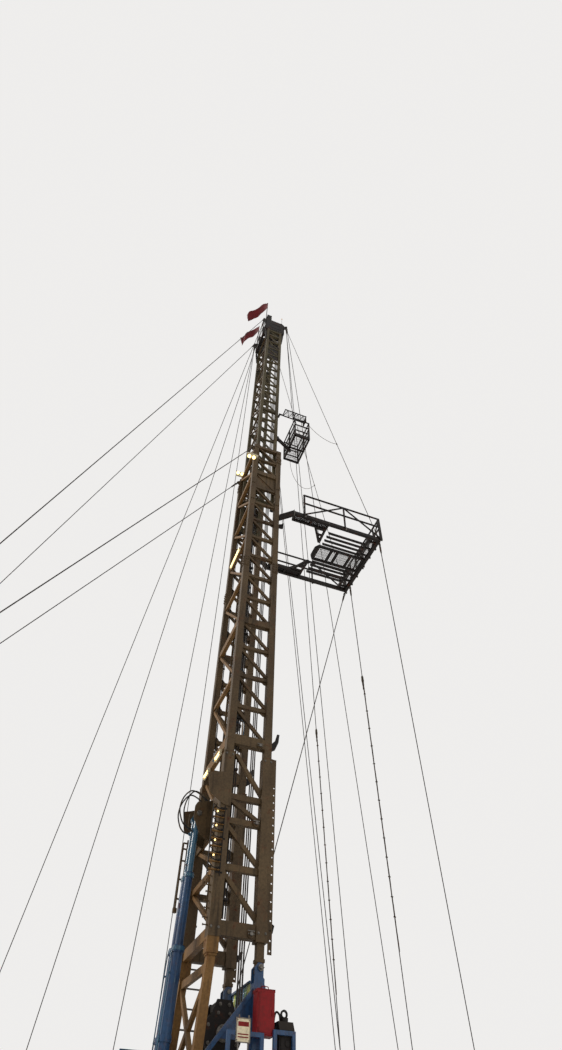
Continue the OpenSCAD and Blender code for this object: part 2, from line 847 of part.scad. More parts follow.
module board_frame() {
  color(dark) {
    both_sides() {
      box([side_x, beam_y, board_z - 60], [board_x, beam_y + side_w, board_z + 60]);
      box([side_x + 30, walk_y, board_z - 50], [walk_x, walk_y + 50, board_z + 50]);
      for (x = [side_x + 30, (side_x + walk_x) / 2, walk_x - 50])
        box([x, walk_y + 50, board_z - 50], [x + 50, beam_y, board_z + 50]);
      translate([walk_x, walk_y, board_z - 30])
        linear_extrude(60)
          difference() {
            polygon([[-380, 0], [0, 0], [30, -520], [-50, -520]]);
            polygon([[-270, -50], [-60, -50], [-48, -210], [-168, -210]]);
            polygon([[-130, -260], [-45, -260], [-45, -400]]);
          }
      box([finger_x1, dive_y, board_z - 40], [finger_x1 + 60, beam_y, board_z + 40]);
      for (y = [dive_y + 140, dive_y + 420, dive_y + 700])
        box([finger_x1 + 60, y, board_z - 30], [board_x, y + 40, board_z + 30]);
    }
    box([board_x, -board_y - 40, board_z - 60], [board_x + 100, board_y + 40, board_z + 60]);
  }
}

finger_y0 = 320;
finger_w = 50;
finger_step = (walk_y - finger_y0) / fingers;
module board_fingers() {
  color(dark)
    both_sides()
      for (i = [0 : fingers - 1]) {
        y = finger_y0 + (i + 0.5) * finger_step - finger_w / 2;
        box([finger_x0, y, board_z - 30], [finger_x1, y + finger_w, board_z + 30]);
        translate([finger_x0 + 1, y + finger_w / 2, board_z - 30]) cylinder(h = 60, d = 50, $fn = 24);
      }
}

module diving_board() {
  x0 = walk_x - 30;
  side = [[x0 + 90, dive_y], [x0, dive_y - 130], [x0, -dive_y + 130], [x0 + 90, -dive_y],
    [board_x, -dive_y], [board_x, dive_y]];
  color(dark)
    translate([0, 0, board_z - 40])
      linear_extrude(80)
        difference() {
          polygon(side);
          for (x = [[x0 + 130, x0 + 500], [x0 + 560, x0 + 700], [x0 + 760, x0 + 1130],
              [x0 + 1190, board_x - 60]])
            translate([x[0], -dive_y + 60]) square([x[1] - x[0], 2 * dive_y - 120]);
        }
}

module board_handrail() {
  s = 40;
  y = board_y + 40;
  x_rail = side_x + 300;
  posts = [x_rail, side_x + 1600, board_x + 60];
  top = board_z + rail_h;
  x_end = board_x + 100;
  color(dark)
    both_sides() {
      for (x = posts)
        box([x, y, board_z - 60], [x + s, y + s, top]);
      for (z = [board_z + rail_h * 0.55, top - s])
        box([x_rail, y, z], [x_end, y + s, z + s]);
      strut([x_rail + 20, y + s / 2, board_z + 20], [posts[1] + 20, y + s / 2, top - 20], 34);
      strut([posts[1] + 20, y + s / 2, top - 20], [posts[2] + 20, y + s / 2, board_z + 20], 34);
      for (z = [board_z + rail_h * 0.55, top - s])
        box([x_end, 0, z], [x_end + s, y + s, z + s]);
      for (yy = [s / 2, 420, 800, y])
        box([x_end, yy, board_z - 60], [x_end + s, yy + s, top]);
      strut([x_end + s / 2, 60, top - 20], [x_end + s / 2, y, board_z + 20], 34);
      strut([x_end + s / 2, 440, board_z], [x_end + s / 2, y, top - 20], 34);
    }
}

// Rod basket
basket_y0 = -980;
basket_y1 = 150;
basket_w = 590;
basket_h = 1130;
module rail_ring(x0, x1, y0, y1, z, s) {
  difference() {
    box([x0, y0, z], [x1, y1, z + s]);
    box([x0 + s, y0 + s, z - 1], [x1 - s, y1 - s, z + s + 1]);
  }
}
module rod_basket() {
  s = 40;
  x0 = basket_x - basket_w;
  color(dark) {
    difference() {
      box([x0, basket_y0, basket_z - 40], [basket_x, basket_y1, basket_z]);
      for (y = [basket_y0 + 60, (basket_y0 + basket_y1) / 2 + 30])
        box([x0 + 60, y, basket_z - 41], [basket_x - 60, y + 445, basket_z - 12]);
    }
    for (x = [x0, basket_x - s])
      for (y = [basket_y0, (basket_y0 + basket_y1 - s) / 2, basket_y1 - s])
        box([x, y, basket_z], [x + s, y + s, basket_z + basket_h]);
    for (z = [0.33, 0.66, 1])
      rail_ring(x0, basket_x, basket_y0, basket_y1, basket_z + basket_h * z - s, s);
  }
}
step_z = 21150;
module basket_bracket() {
  x0 = basket_x - basket_w;
  color(dark) {
    intersection() {
      strut([lx, -uy, 19640], [x0 + 100, -330, 19640], 180, 60);
      box([ux + hu, -2000, 19000], [x0 + 90, 0, basket_z - 40]);
    }
    box([ux + hu, -uy - hu, 19560], [ux + hu + 60, -uy + hu, basket_z - 40]);
    box([500, -1050, step_z], [1360, -750, step_z + 40]);
    box([ux + hu, -800, step_z], [500, -750, step_z + 40]);
    box([ux + hu, -800, step_z - 60], [ux + hu + 50, -uy - hu + 40, step_z + 40]);
    box([1320, -1020, basket_z + basket_h], [1360, basket_y0 + 40, step_z]);
    box([1320, -800, basket_z + basket_h], [1360, -760, step_z]);
    box([1320, -1020, basket_z + basket_h], [1360, -760, basket_z + basket_h + 40]);
  }
}

// Lamps on bars of their own
module lamp_pair(x, y, z, stem_z) {
  for (dx = [0, 150]) {
    translate([x + dx, y, z]) rotate([20, 0, 0]) cylinder(h = 90, d = 120, $fn = 40);
    box([x + dx - 12, y - 12, stem_z], [x + dx + 12, y + 12, stem_z + 50]);
  }
}
module floodlights() {
  near_z = 17660;                     // underside of the near lamp bar
  near_y = -ly - hl - 80;
  far_z = low_top + 40;               // top of the far lamp bar
  far_y = uy - 20;
  color(cream) {
    lamp_pair(-640, near_y, near_z - 115, near_z - 45);
    box([-720, near_y - 12, near_z], [-lx + 40, -ly - hl, near_z + 50]);
    lamp_pair(-590, far_y, far_z + 30, far_z - 5);
    box([-670, far_y - 20, low_top], [-lx, far_y + 20, far_z]);
  }
}
module tube_lamps() {
  color(cream) {
    box([back_x - 110, -490, band_z - 190], [back_x - 50, -140, band_z - 80]);
    box([back_x - 110, 310, band_z - 190], [back_x - 50, 660, band_z - 80]);
    box([back_x - 100, -280, band_z + 8 * low_bay - 90], [back_x - 40, 560, band_z + 8 * low_bay]);
  }
}

// Guy lines
function flip(p) = [p[0], -p[1], p[2]];
lug_y = plate_y + plate_t / 2;
lug_back = [crown_x0 - 70, lug_y, crown_z + 1000];
lug_well = [crown_x1 + 90, lug_y, crown_z + 970];
lug_step = [0, 0, 110];               // spacing of the holes in a lug
lug_tip = [30, 0, 30];                // from the first hole to the outermost one
side_eye = [0, lug_y, crown_z + 900]; // rope eye on the crown's side plate
mid_lug = [lug_x, ly, mid_lug_z];
anchor_h = 160;
anchor_a = [-11000, 4570, anchor_h];
anchor_b = [-8000, -3110, anchor_h];
anchor_c = [-12000, 2810, anchor_h];
anchor_d = [-8500, -3840, anchor_h];
anchor_e = [-3990, 13000, anchor_h];
anchor_f = [-2300, 13000, anchor_h];
anchor_g = [450, 13000, anchor_h];
anchor_i = [1780, 13000, anchor_h];
anchor_j = [7300, 10500, anchor_h];
anchor_k = [7840, 10500, anchor_h];
anchor_l = [9510, 10500, anchor_h];
anchor_m = [10990, 9000, anchor_h];
anchor_n = [820, 6000, anchor_h];
anchor_o = [7040, 9500, anchor_h];
anchor_p = [7840, 11500, anchor_h];
anchor_q = [9170, 9500, anchor_h];
ANCHORS = [anchor_a, anchor_b, anchor_c, anchor_d, anchor_e, anchor_f, anchor_g, anchor_i,
  anchor_j, anchor_k, anchor_l, anchor_m, anchor_n, anchor_o, anchor_p, anchor_q];
board_corner = [board_x + 50, -board_y, board_z];
beam_eye_y = 850;
module crown_guys() {
  color(wire) {
    rod(lug_back, anchor_a, guy_d);
    rod(flip(lug_back), anchor_b, guy_d);
    rod(flip(lug_back) - lug_step, anchor_e, guy_d);
    rod(flip(lug_back) - 2 * lug_step, anchor_f, guy_d);
    rod(lug_back - lug_step, anchor_g, guy_d);
    rod(lug_back - 2 * lug_step, anchor_i, guy_d);
    rod(flip(lug_well), anchor_j, guy_d);
    rod(flip(lug_well) - lug_step, anchor_k, guy_d);
    rod(flip(lug_well) + lug_tip, anchor_l, guy_d);
    rod(side_eye, anchor_o, guy_d);
    rod(side_eye - lug_step, anchor_p, guy_d);
  }
}
module middle_guys() {
  color(wire) {
    rod(mid_lug, anchor_c, guy_d);
    rod(flip(mid_lug), anchor_d, guy_d);
  }
}
module board_guys() {
  color(wire) {
    rod(board_corner + [0, 0, -40], anchor_m, guy_d);
    rod(flip(board_corner) + [0, 0, -40], anchor_n, guy_d);
    rod([board_x + 50, beam_eye_y, board_z - 20], anchor_q, guy_d);
  }
}
module board_stays() {
  color(wire) {
    rod(flip(lug_well) - 2 * lug_step, board_corner + [0, 0, 40], guy_d * 0.8);
    rod(lug_well - 2 * lug_step, flip(board_corner) + [0, 0, 40], guy_d * 0.8);
  }
}
module ground_anchors() {
  color(grey)
    for (p = ANCHORS) {
      translate([p[0], p[1], 0]) cylinder(h = anchor_h + 40, d = 90, $fn = 32);
      translate([p[0], p[1], 0]) cylinder(h = 30, d = 260, $fn = 32);
    }
}

// Pennants, flying before the wind
wind_az = 132;
pole_x = crown_x0 + 30;
pole_y = plate_y - 30;
pole_z = crown_z + crown_h - 60;
pole_h = 2260;
module pennant_poles() {
  color(dark)
    both_sides()
      translate([pole_x, pole_y, pole_z]) cylinder(h = pole_h, d = 34, $fn = 24);
}
module pennants() {
  color([0.40, 0.02, 0.08])
    for (s = [-1, 1])
      translate([pole_x, s * pole_y, pole_z + pole_h - 700])
        rotate([0, 0, wind_az])
          translate([0, 4, 0])
            rotate([90, 0, 0])
              linear_extrude(8)
                polygon([[17.3, 0], [17.3, 680], [480, 500], [1150, 60], [1020, -300], [500, 60]]);
}

base_skid();
mast_posts();
pivot_brackets();
pivot_pins();
base_braces();
back_base_legs();
base_leg_braces();
working_floor();
floor_handrails();
floor_ladder();
tool_box();
sign_panel();
wind_strip();
tong_unit();
leg_near_back();
leg_near_well();
leg_far_back();
leg_far_well();
lower_near_side();
lower_far_side();
lower_back();
ram_gussets();
mast_hooks();
climbing_rail();
guy_lugs();
ram_barrels();
ram_middle_stages();
ram_inner_stages();
upper_legs();
upper_near_side();
upper_far_side();
upper_back();
guide_pads();
lock_brackets();
extension_cylinder();
crown_frame();
crown_beacon();
sheave_shaft();
crown_sheaves();
travelling_block();
hook();
drill_lines();
board_arms();
board_frame();
board_fingers();
diving_board();
board_handrail();
rod_basket();
basket_bracket();
floodlights();
tube_lamps();
crown_guys();
middle_guys();
board_guys();
board_stays();
ground_anchors();
pennant_poles();
pennants();
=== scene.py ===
"""Looks of the oil rig mast: paints, cloth, ropes, lamps, gratings, hoses and small steel, on the CAD frame."""

import math
import random

import bmesh
import bpy
from mathutils import Matrix, Vector


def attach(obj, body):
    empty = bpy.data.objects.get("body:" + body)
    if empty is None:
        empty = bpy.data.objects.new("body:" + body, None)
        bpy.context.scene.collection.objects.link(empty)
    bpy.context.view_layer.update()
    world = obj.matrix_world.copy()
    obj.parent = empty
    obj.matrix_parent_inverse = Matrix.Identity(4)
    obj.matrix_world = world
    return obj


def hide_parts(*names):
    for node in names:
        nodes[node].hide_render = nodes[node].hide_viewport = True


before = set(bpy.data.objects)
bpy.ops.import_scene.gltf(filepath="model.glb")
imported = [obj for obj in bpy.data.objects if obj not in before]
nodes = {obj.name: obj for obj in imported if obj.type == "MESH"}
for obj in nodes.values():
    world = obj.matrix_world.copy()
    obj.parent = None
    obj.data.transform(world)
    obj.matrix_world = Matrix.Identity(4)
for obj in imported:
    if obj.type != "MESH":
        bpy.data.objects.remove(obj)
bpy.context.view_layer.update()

MAST, BLOCK = "mast", "travelling_block"

# Camera: a person's eye at the foot of the rig, looking up
EYE = Vector((-3.24, -11.16, 1.6))
HEADING, PITCH, ROLL = math.radians(20.09), math.radians(50.04), math.radians(1.56)
FOCAL_PIXELS, PHOTO_HEIGHT, SENSOR = 590.1, 1050, 36


def set_camera():
    ahead = Vector((math.sin(HEADING) * math.cos(PITCH), math.cos(HEADING) * math.cos(PITCH), math.sin(PITCH)))
    level = Vector((math.cos(HEADING), -math.sin(HEADING), 0))
    above = level.cross(ahead)
    right = math.cos(ROLL) * level + math.sin(ROLL) * above
    up = math.cos(ROLL) * above - math.sin(ROLL) * level
    camera = bpy.data.objects.new("eye", bpy.data.cameras.new("eye"))
    bpy.context.scene.collection.objects.link(camera)
    camera.matrix_world = Matrix.Translation(EYE) @ Matrix((right, up, -ahead)).transposed().to_4x4()
    camera.data.sensor_width = SENSOR
    camera.data.lens = FOCAL_PIXELS * SENSOR / PHOTO_HEIGHT
    camera.data.clip_end = 500
    bpy.context.scene.camera = camera


set_camera()


# Finishes: one small class for shader maths, one for a material being mixed
def maths(operation):
    """An arithmetic operator in its straight and its reflected form."""
    def straight(tone, other):
        return tone.finish.math(operation, tone, other)

    def turned(tone, other):
        return tone.finish.math(operation, other, tone)

    return straight, turned


class Tone:
    """A value at one socket; arithmetic on it adds Math nodes."""
    __add__, __radd__ = maths("ADD")
    __sub__, __rsub__ = maths("SUBTRACT")
    __mul__, __rmul__ = maths("MULTIPLY")
    __truediv__, __rtruediv__ = maths("DIVIDE")

    def __init__(self, finish, socket):
        self.finish = finish
        self.socket = socket

    def least(self, other):
        return self.finish.math("MINIMUM", self, other)

    def wave(self):
        return self.finish.math("SINE", self)

    def between(self, low, high):
        """0 below low, 1 above high, smooth between."""
        return self.finish.node(
            "ShaderNodeMapRange", {"interpolation_type": "SMOOTHSTEP"},
            {0: self, 1: low, 2: high, 3: 0.0, 4: 1.0})


class Finish:
    """A material that is mixed from nodes, with a Principled shader at its end."""

    def __init__(self, name):
        self.material = bpy.data.materials.new(name)
        self.material.use_nodes = True
        self.tree = self.material.node_tree
        self.shader = self.tree.nodes["Principled BSDF"]
        self.where = self.node("ShaderNodeTexCoord", {}, {}, "Object")

    def node(self, kind, settings, values, out=0):
        made = self.tree.nodes.new(kind)
        for key, value in settings.items():
            setattr(made, key, value)
        for key, value in values.items():
            if isinstance(value, Tone):
                self.tree.links.new(value.socket, made.inputs[key])
            else:
                made.inputs[key].default_value = value
        return Tone(self, made.outputs[out])

    def math(self, operation, *values):
        return self.node("ShaderNodeMath", {"operation": operation}, dict(enumerate(values)))

    def blend(self, factor, under, over):
        """Colour under where factor is 0, over where it is 1."""
        return self.node("ShaderNodeMix", {"data_type": "RGBA"}, {0: factor, 6: under, 7: over}, 2)

    def layers(self, shade, *coats):
        """A colour under others; each coat is how far it covers, 0 to 1, and its colour."""
        for factor, over in coats:
            shade = self.blend(factor, shade, over)
        return shade

    def cloud(self, scale, detail=4.0, rough=0.55, stretch=(1, 1, 1)):
        place = self.node("ShaderNodeVectorMath", {"operation": "MULTIPLY"}, {0: self.where, 1: stretch})
        return self.node(
            "ShaderNodeTexNoise", {}, {"Vector": place, "Scale": scale, "Detail": detail, "Roughness": rough})

    def axis(self, letter):
        return self.node("ShaderNodeSeparateXYZ", {}, {0: self.where}, letter)

    def facing(self, letter):
        """How far the surface faces along that axis, -1 to 1."""
        normal = self.node("ShaderNodeNewGeometry", {}, {}, "Normal")
        return self.node("ShaderNodeSeparateXYZ", {}, {0: normal}, letter)

    def raised(self, height, distance, strength=0.5):
        bump = self.node("ShaderNodeBump", {}, {"Height": height, "Distance": distance, "Strength": strength})
        self.use({"Normal": bump})

    def use(self, sockets):
        for key, value in sockets.items():
            if isinstance(value, Tone):
                self.tree.links.new(value.socket, self.shader.inputs[key])
            else:
                self.shader.inputs[key].default_value = value


def tint(red, green, blue):
    """A linear colour from screen values, 0 to 255."""
    return tuple((c / 255) ** 2.2 for c in (red, green, blue)) + (1.0,)


RUST = tint(112, 58, 30)
RUST_DARK = tint(66, 38, 26)
GRIME = tint(34, 29, 25)
DUST = tint(120, 102, 78)


def weathered_paint(name, colour, fade, dust=0.5, rust=0.5, grime=0.5, gloss=0.45, coat=0.0):
    """Oilfield paint: faded in clouds, run with grime, dusty on top, rusty in chips."""
    paint = Finish(name)
    broad = paint.cloud(0.9, 5.0, 0.6)
    fine = paint.cloud(26.0, 4.0, 0.6)
    runs = paint.cloud(2.2, 5.0, 0.65, (4.5, 4.5, 0.32)).between(0.5, 0.72)
    flecks = paint.cloud(5.0, 8.0, 0.72)
    chips = flecks.between(0.64 - 0.05 * rust, 0.68 - 0.05 * rust)
    bleed = flecks.between(0.56 - 0.05 * rust, 0.68)
    upward = paint.facing("Z").between(0.35, 0.9)
    paint.use({
        "Base Color": paint.layers(
            colour, (broad.between(0.3, 0.7), fade), (fine.between(0.35, 0.75) * 0.35, GRIME),
            (runs * grime, GRIME),
            (bleed * 0.45 * rust, RUST), (chips * (0.4 + 0.6 * fine), RUST_DARK),
            (upward * broad.between(0.25, 0.6) * dust, DUST)),
        "Roughness": (gloss + 0.25 * fine + 0.3 * chips + 0.2 * runs * grime).least(0.95),
        "Coat Weight": coat * (1 - chips),
        "Coat Roughness": 0.18,
        "Specular IOR Level": 0.22,
    })
    paint.raised(fine * 0.4 + flecks * 0.6 - chips * 0.8, 0.003, 0.35)
    return paint.material


def worn_steel(name, colour, gloss, metal=0.9, rust=0.4):
    """Bare or oily steel with rub marks and rust in its hollows."""
    steel = Finish(name)
    fine = steel.cloud(60.0, 5.0, 0.6)
    rub = steel.cloud(14.0, 4.0, 0.6, (1, 1, 6))
    flecks = steel.cloud(7.0, 7.0, 0.7).between(0.6 - 0.1 * rust, 0.7)
    steel.use({
        "Base Color": steel.layers(colour, (rub.between(0.3, 0.7) * 0.5, GRIME), (flecks * 0.8, RUST)),
        "Metallic": metal * (1 - flecks),
        "Roughness": (gloss + 0.3 * fine + 0.4 * flecks).least(0.95),
    })
    steel.raised(fine + rub * 0.5, 0.0015, 0.3)
    return steel.material


def wire_rope(name, lay, strands=6.0, colour=tint(62, 56, 50)):
    """Steel wire rope: strands that wind round it, dark with grease between them."""
    rope = Finish(name)
    normal = rope.node("ShaderNodeTexCoord", {}, {}, "Normal")
    right = rope.node("ShaderNodeSeparateXYZ", {}, {0: normal}, "X")
    away = rope.node("ShaderNodeSeparateXYZ", {}, {0: normal}, "Y")
    turn = rope.math("ARCTAN2", away, right)
    twist = (turn * strands + rope.axis("Z") * (2 * math.pi * strands / lay)).wave()
    wires = (turn * strands * 3 - rope.axis("Z") * (2 * math.pi * strands * 7 / lay)).wave()
    grease = rope.cloud(9.0, 5.0, 0.65).between(0.4, 0.7)
    rope.use({
        "Base Color": rope.layers(GRIME, (twist.between(-0.9, 0.2), colour), (grease * 0.6, tint(26, 22, 20))),
        "Metallic": 0.75 * (1 - grease),
        "Roughness": 0.42 + 0.3 * grease,
    })
    rope.raised(twist + wires * 0.25, 0.002, 0.8)
    return rope.material


def lamp_glow(name, colour, strength, bars):
    """Lit lamp glass with moulded ribs and a hot middle."""
    glass = Finish(name)
    ribs = (glass.axis("X") * bars).wave().between(-1.0, 1.0)
    shade = glass.cloud(20.0, 3.0)
    glass.use({
        "Base Color": glass.blend(shade * 0.3, colour, tint(255, 236, 190)),
        "Roughness": 0.25 + 0.2 * shade,
        "Emission Color": glass.blend(ribs * 0.5, tint(255, 226, 150), tint(255, 196, 96)),
        "Emission Strength": strength,
        "Coat Weight": 0.6 + 0.2 * ribs,
        "Coat Roughness": 0.08,
    })
    glass.raised(ribs, 0.002, 0.4)
    return glass.material


BRONZE = tint(72, 58, 41)
mast_paint = weathered_paint("mast_paint", BRONZE, tint(92, 76, 54), dust=0.8, rust=0.55, grime=0.65)
lattice_paint = weathered_paint("lattice_paint", BRONZE, tint(94, 77, 53), dust=0.55, rust=0.6, grime=0.7)
upper_paint = weathered_paint("upper_paint", tint(66, 60, 42), tint(86, 78, 54), grime=0.75)
# A lighter, warmer copy of the mast's bronze for the faces the low sun lit: painted sunlight, not a paint colour of
# its own.
bronze_with_painted_sunlight = weathered_paint("bronze_with_painted_sunlight", tint(104, 76, 42), tint(126, 94, 54), dust=0.45, grime=0.45)
base_paint = weathered_paint(
    "base_paint", tint(26, 56, 92), tint(42, 78, 116), dust=0.55, rust=0.6, grime=0.6, gloss=0.35, coat=0.35)
ram_paint = weathered_paint(
    "ram_paint", tint(34, 78, 106), tint(56, 104, 130), dust=0.2, rust=0.3, grime=0.45, gloss=0.2, coat=0.85)
black_paint = weathered_paint(
    "black_paint", tint(24, 22, 22), tint(38, 34, 32), dust=0.25, rust=0.6, grime=0.3, gloss=0.48)
red_paint = weathered_paint(
    "red_paint", tint(116, 4, 13), tint(130, 10, 18), dust=0.06, rust=0.2, grime=0.35, coat=0.1)
cream_paint = weathered_paint(
    "cream_paint", tint(214, 200, 164), tint(226, 214, 184), dust=0.3, rust=0.35, grime=0.35, gloss=0.3, coat=0.4)
bare_steel = worn_steel("bare_steel", tint(120, 116, 110), 0.35)
hot_steel = worn_steel("hot_steel", tint(70, 62, 54), 0.5, metal=0.6, rust=0.8)
guy_rope = wire_rope("guy_rope", 0.18)
drill_rope = wire_rope("drill_rope", 0.19, colour=tint(70, 62, 54))
lamp_light = lamp_glow("lamp_light", tint(255, 222, 150), 4.0, 160.0)
tube_light = lamp_glow("tube_light", tint(255, 230, 170), 3.0, 90.0)
slack_line = wire_rope("slack_line", 0.09, 3.0, colour=tint(104, 92, 74))
forged_steel = worn_steel("forged_steel", tint(84, 78, 70), 0.42, metal=0.8, rust=0.6)


def soft_rubber(name):
    """Black hose rubber: wrapped ribs, dust and oil."""
    skin = Finish(name)
    dusty = skin.cloud(8.0, 5.0, 0.6)
    wrap = (skin.axis("Z") * 900.0 + skin.axis("X") * 300.0).wave()
    skin.use({"Base Color": skin.blend(dusty.between(0.4, 0.75) * 0.5, tint(24, 23, 23), DUST),
              "Roughness": 0.45 + 0.35 * dusty, "Specular IOR Level": 0.35})
    skin.raised(wrap * 0.5 + dusty, 0.0008, 0.3)
    return skin.material


def flag_cloth(name):
    """Dark red bunting: a fine weave, sun-bleached in clouds, sooty at the fly."""
    cloth = Finish(name)
    bleach = cloth.cloud(2.4, 5.0, 0.6)
    warp = (cloth.axis("Z") * 2600.0).wave()
    weft = ((cloth.axis("X") - cloth.axis("Y")) * 1900.0).wave()
    soot = cloth.cloud(6.0, 6.0, 0.7).between(0.5, 0.75)
    shade = cloth.layers(
        tint(84, 10, 18), (bleach.between(0.3, 0.7), tint(112, 22, 28)), (soot * 0.55, tint(46, 16, 18)))
    cloth.use({"Base Color": shade, "Roughness": 0.82 + 0.1 * bleach,
               "Sheen Weight": 0.35, "Specular IOR Level": 0.2})
    cloth.raised(warp + weft + bleach * 2, 0.0006, 0.5)
    return cloth.material


def striped_plastic(name):
    """Ribbed clear plastic in broad coloured stripes, scuffed."""
    plastic = Finish(name)
    place = plastic.axis("Y")
    scuff = plastic.cloud(18.0, 6.0, 0.7)
    first = (place * (2 * math.pi / 0.38)).wave()
    second = (place * (2 * math.pi / 0.57) + 1.4).wave()
    shade = plastic.layers(
        tint(196, 200, 52), (first.between(-0.15, 0.15), tint(74, 158, 92)),
        (second.between(0.45, 0.6), tint(58, 126, 176)), (scuff.between(0.5, 0.8) * 0.5, tint(198, 192, 172)))
    plastic.use({"Base Color": shade, "Roughness": 0.22 + 0.4 * scuff,
                 "Alpha": 0.72 + 0.25 * scuff.between(0.45, 0.8), "Coat Weight": 0.4 + 0.3 * scuff, "IOR": 1.46})
    plastic.raised(scuff, 0.0006, 0.3)
    return plastic.material


def weld_bronze(name):
    """Painted weld: the mast's paint over rippled metal, rust at the toes."""
    weld = Finish(name)
    fine = weld.cloud(90.0, 5.0, 0.65)
    flecks = weld.cloud(9.0, 6.0, 0.7).between(0.48, 0.62)
    weld.use({"Base Color": weld.blend(flecks * 0.8, tint(86, 70, 48), tint(104, 54, 30)),
              "Roughness": 0.5 + 0.3 * fine + 0.1 * flecks, "Metallic": 0.2 * (1 - flecks)})
    weld.raised(fine, 0.001, 0.5)
    return weld.material


rubber = soft_rubber("rubber")
pennant_cloth = flag_cloth("pennant_bunting")
strip_plastic = striped_plastic("strip_plastic")
weld_metal = weld_bronze("weld_metal")
red_lens = lamp_glow("red_lens", tint(150, 16, 16), 0.35, 300.0)
small_amber = lamp_glow("small_amber", tint(255, 190, 90), 3.0, 400.0)

# The tan slot gets the lighter copy of the bronze, which is painted sunlight on the faces the low sun lit.
SLOT_FINISH = {
    "blue_paint": base_paint, "ram_paint": ram_paint, "tan_paint": bronze_with_painted_sunlight, "bronze_paint": mast_paint,
    "dark_steel": black_paint, "grey_steel": bare_steel, "red_paint": red_paint, "cream_paint": cream_paint,
    "clear_sheet": cream_paint, "lamp_glass": lamp_light, "wire_rope": guy_rope, "pennant_cloth": pennant_cloth,
}
NODE_FINISH = {
    "upper_legs": upper_paint, "upper_near_side": upper_paint, "upper_far_side": upper_paint,
    "lower_near_side": lattice_paint, "lower_far_side": lattice_paint, "drill_lines": drill_rope,
    "hook": hot_steel, "tube_lamps": tube_light,
}
BROKEN_EDGES = {
    "base_skid", "mast_posts", "pivot_brackets", "back_base_legs", "base_leg_braces", "base_braces",
    "floor_handrails", "tool_box", "tong_unit", "leg_near_back", "leg_near_well", "leg_far_back",
    "leg_far_well", "lower_near_side", "lower_far_side", "lower_back", "ram_gussets", "mast_hooks",
    "upper_legs", "upper_near_side", "upper_far_side", "upper_back", "crown_frame", "travelling_block",
    "board_arms", "board_frame", "board_handrail", "diving_board",
}
EDGE_BREAK, CORNER = 0.004, math.radians(50)


def paint_frame():
    for name, piece in nodes.items():
        for holder in piece.material_slots:
            slot = holder.material.name.split(".")[0] if holder.material else ""
            holder.material = NODE_FINISH.get(name) or SLOT_FINISH.get(slot, mast_paint)
        if name in BROKEN_EDGES:
            edges = piece.modifiers.new("broken_edges", "BEVEL")
            edges.width = EDGE_BREAK
            edges.segments = 2
            edges.limit_method = "ANGLE"
            edges.angle_limit = CORNER
            edges.harden_normals = True


paint_frame()


# Shapes: a small maker of meshes from bars, plates, turned and swept parts, in metres
X, Y, Z = Vector((1, 0, 0)), Vector((0, 1, 0)), Vector((0, 0, 1))
SHARP = math.radians(34)


def across(along, up=Z):
    """Two unit vectors square to along, the second one as near to up as it can be."""
    along = along.normalized()
    if abs(along.dot(up)) > 0.98:
        up = X if abs(along.x) < 0.9 else Y
    side = along.cross(up).normalized()
    return side, side.cross(along)


def around(middle, side, top, radius, angles):
    """Points on a circle at those angles from side to top."""
    return [middle + (side * math.cos(a) + top * math.sin(a)) * radius for a in angles]


def ring(middle, side, top, radius, sides, first=0.0):
    """Even points round a circle, the first one at that angle."""
    return around(middle, side, top, radius, [first + 2 * math.pi * i / sides for i in range(sides)])


def spots(xs, ys, zs):
    """A point for each combination of the given values; one value may stand alone."""
    xs, ys, zs = (values if isinstance(values, (tuple, list)) else (values,) for values in (xs, ys, zs))
    return [Vector((x, y, z)) for x in xs for y in ys for z in zs]


def curve_through(given, steps):
    """Points on a smooth curve through the given ones."""
    p = [Vector(q) for q in given]
    p = [2 * p[0] - p[1]] + p + [2 * p[-1] - p[-2]]
    smooth = []
    for a, b, c, d in zip(p, p[1:], p[2:], p[3:]):
        for i in range(steps):
            t = i / steps
            smooth.append(0.5 * (2 * b + (c - a) * t + (2 * a - 5 * b + 4 * c - d) * t * t
                                 + (3 * b - a - 3 * c + d) * t ** 3))
    return smooth + [p[-2]]


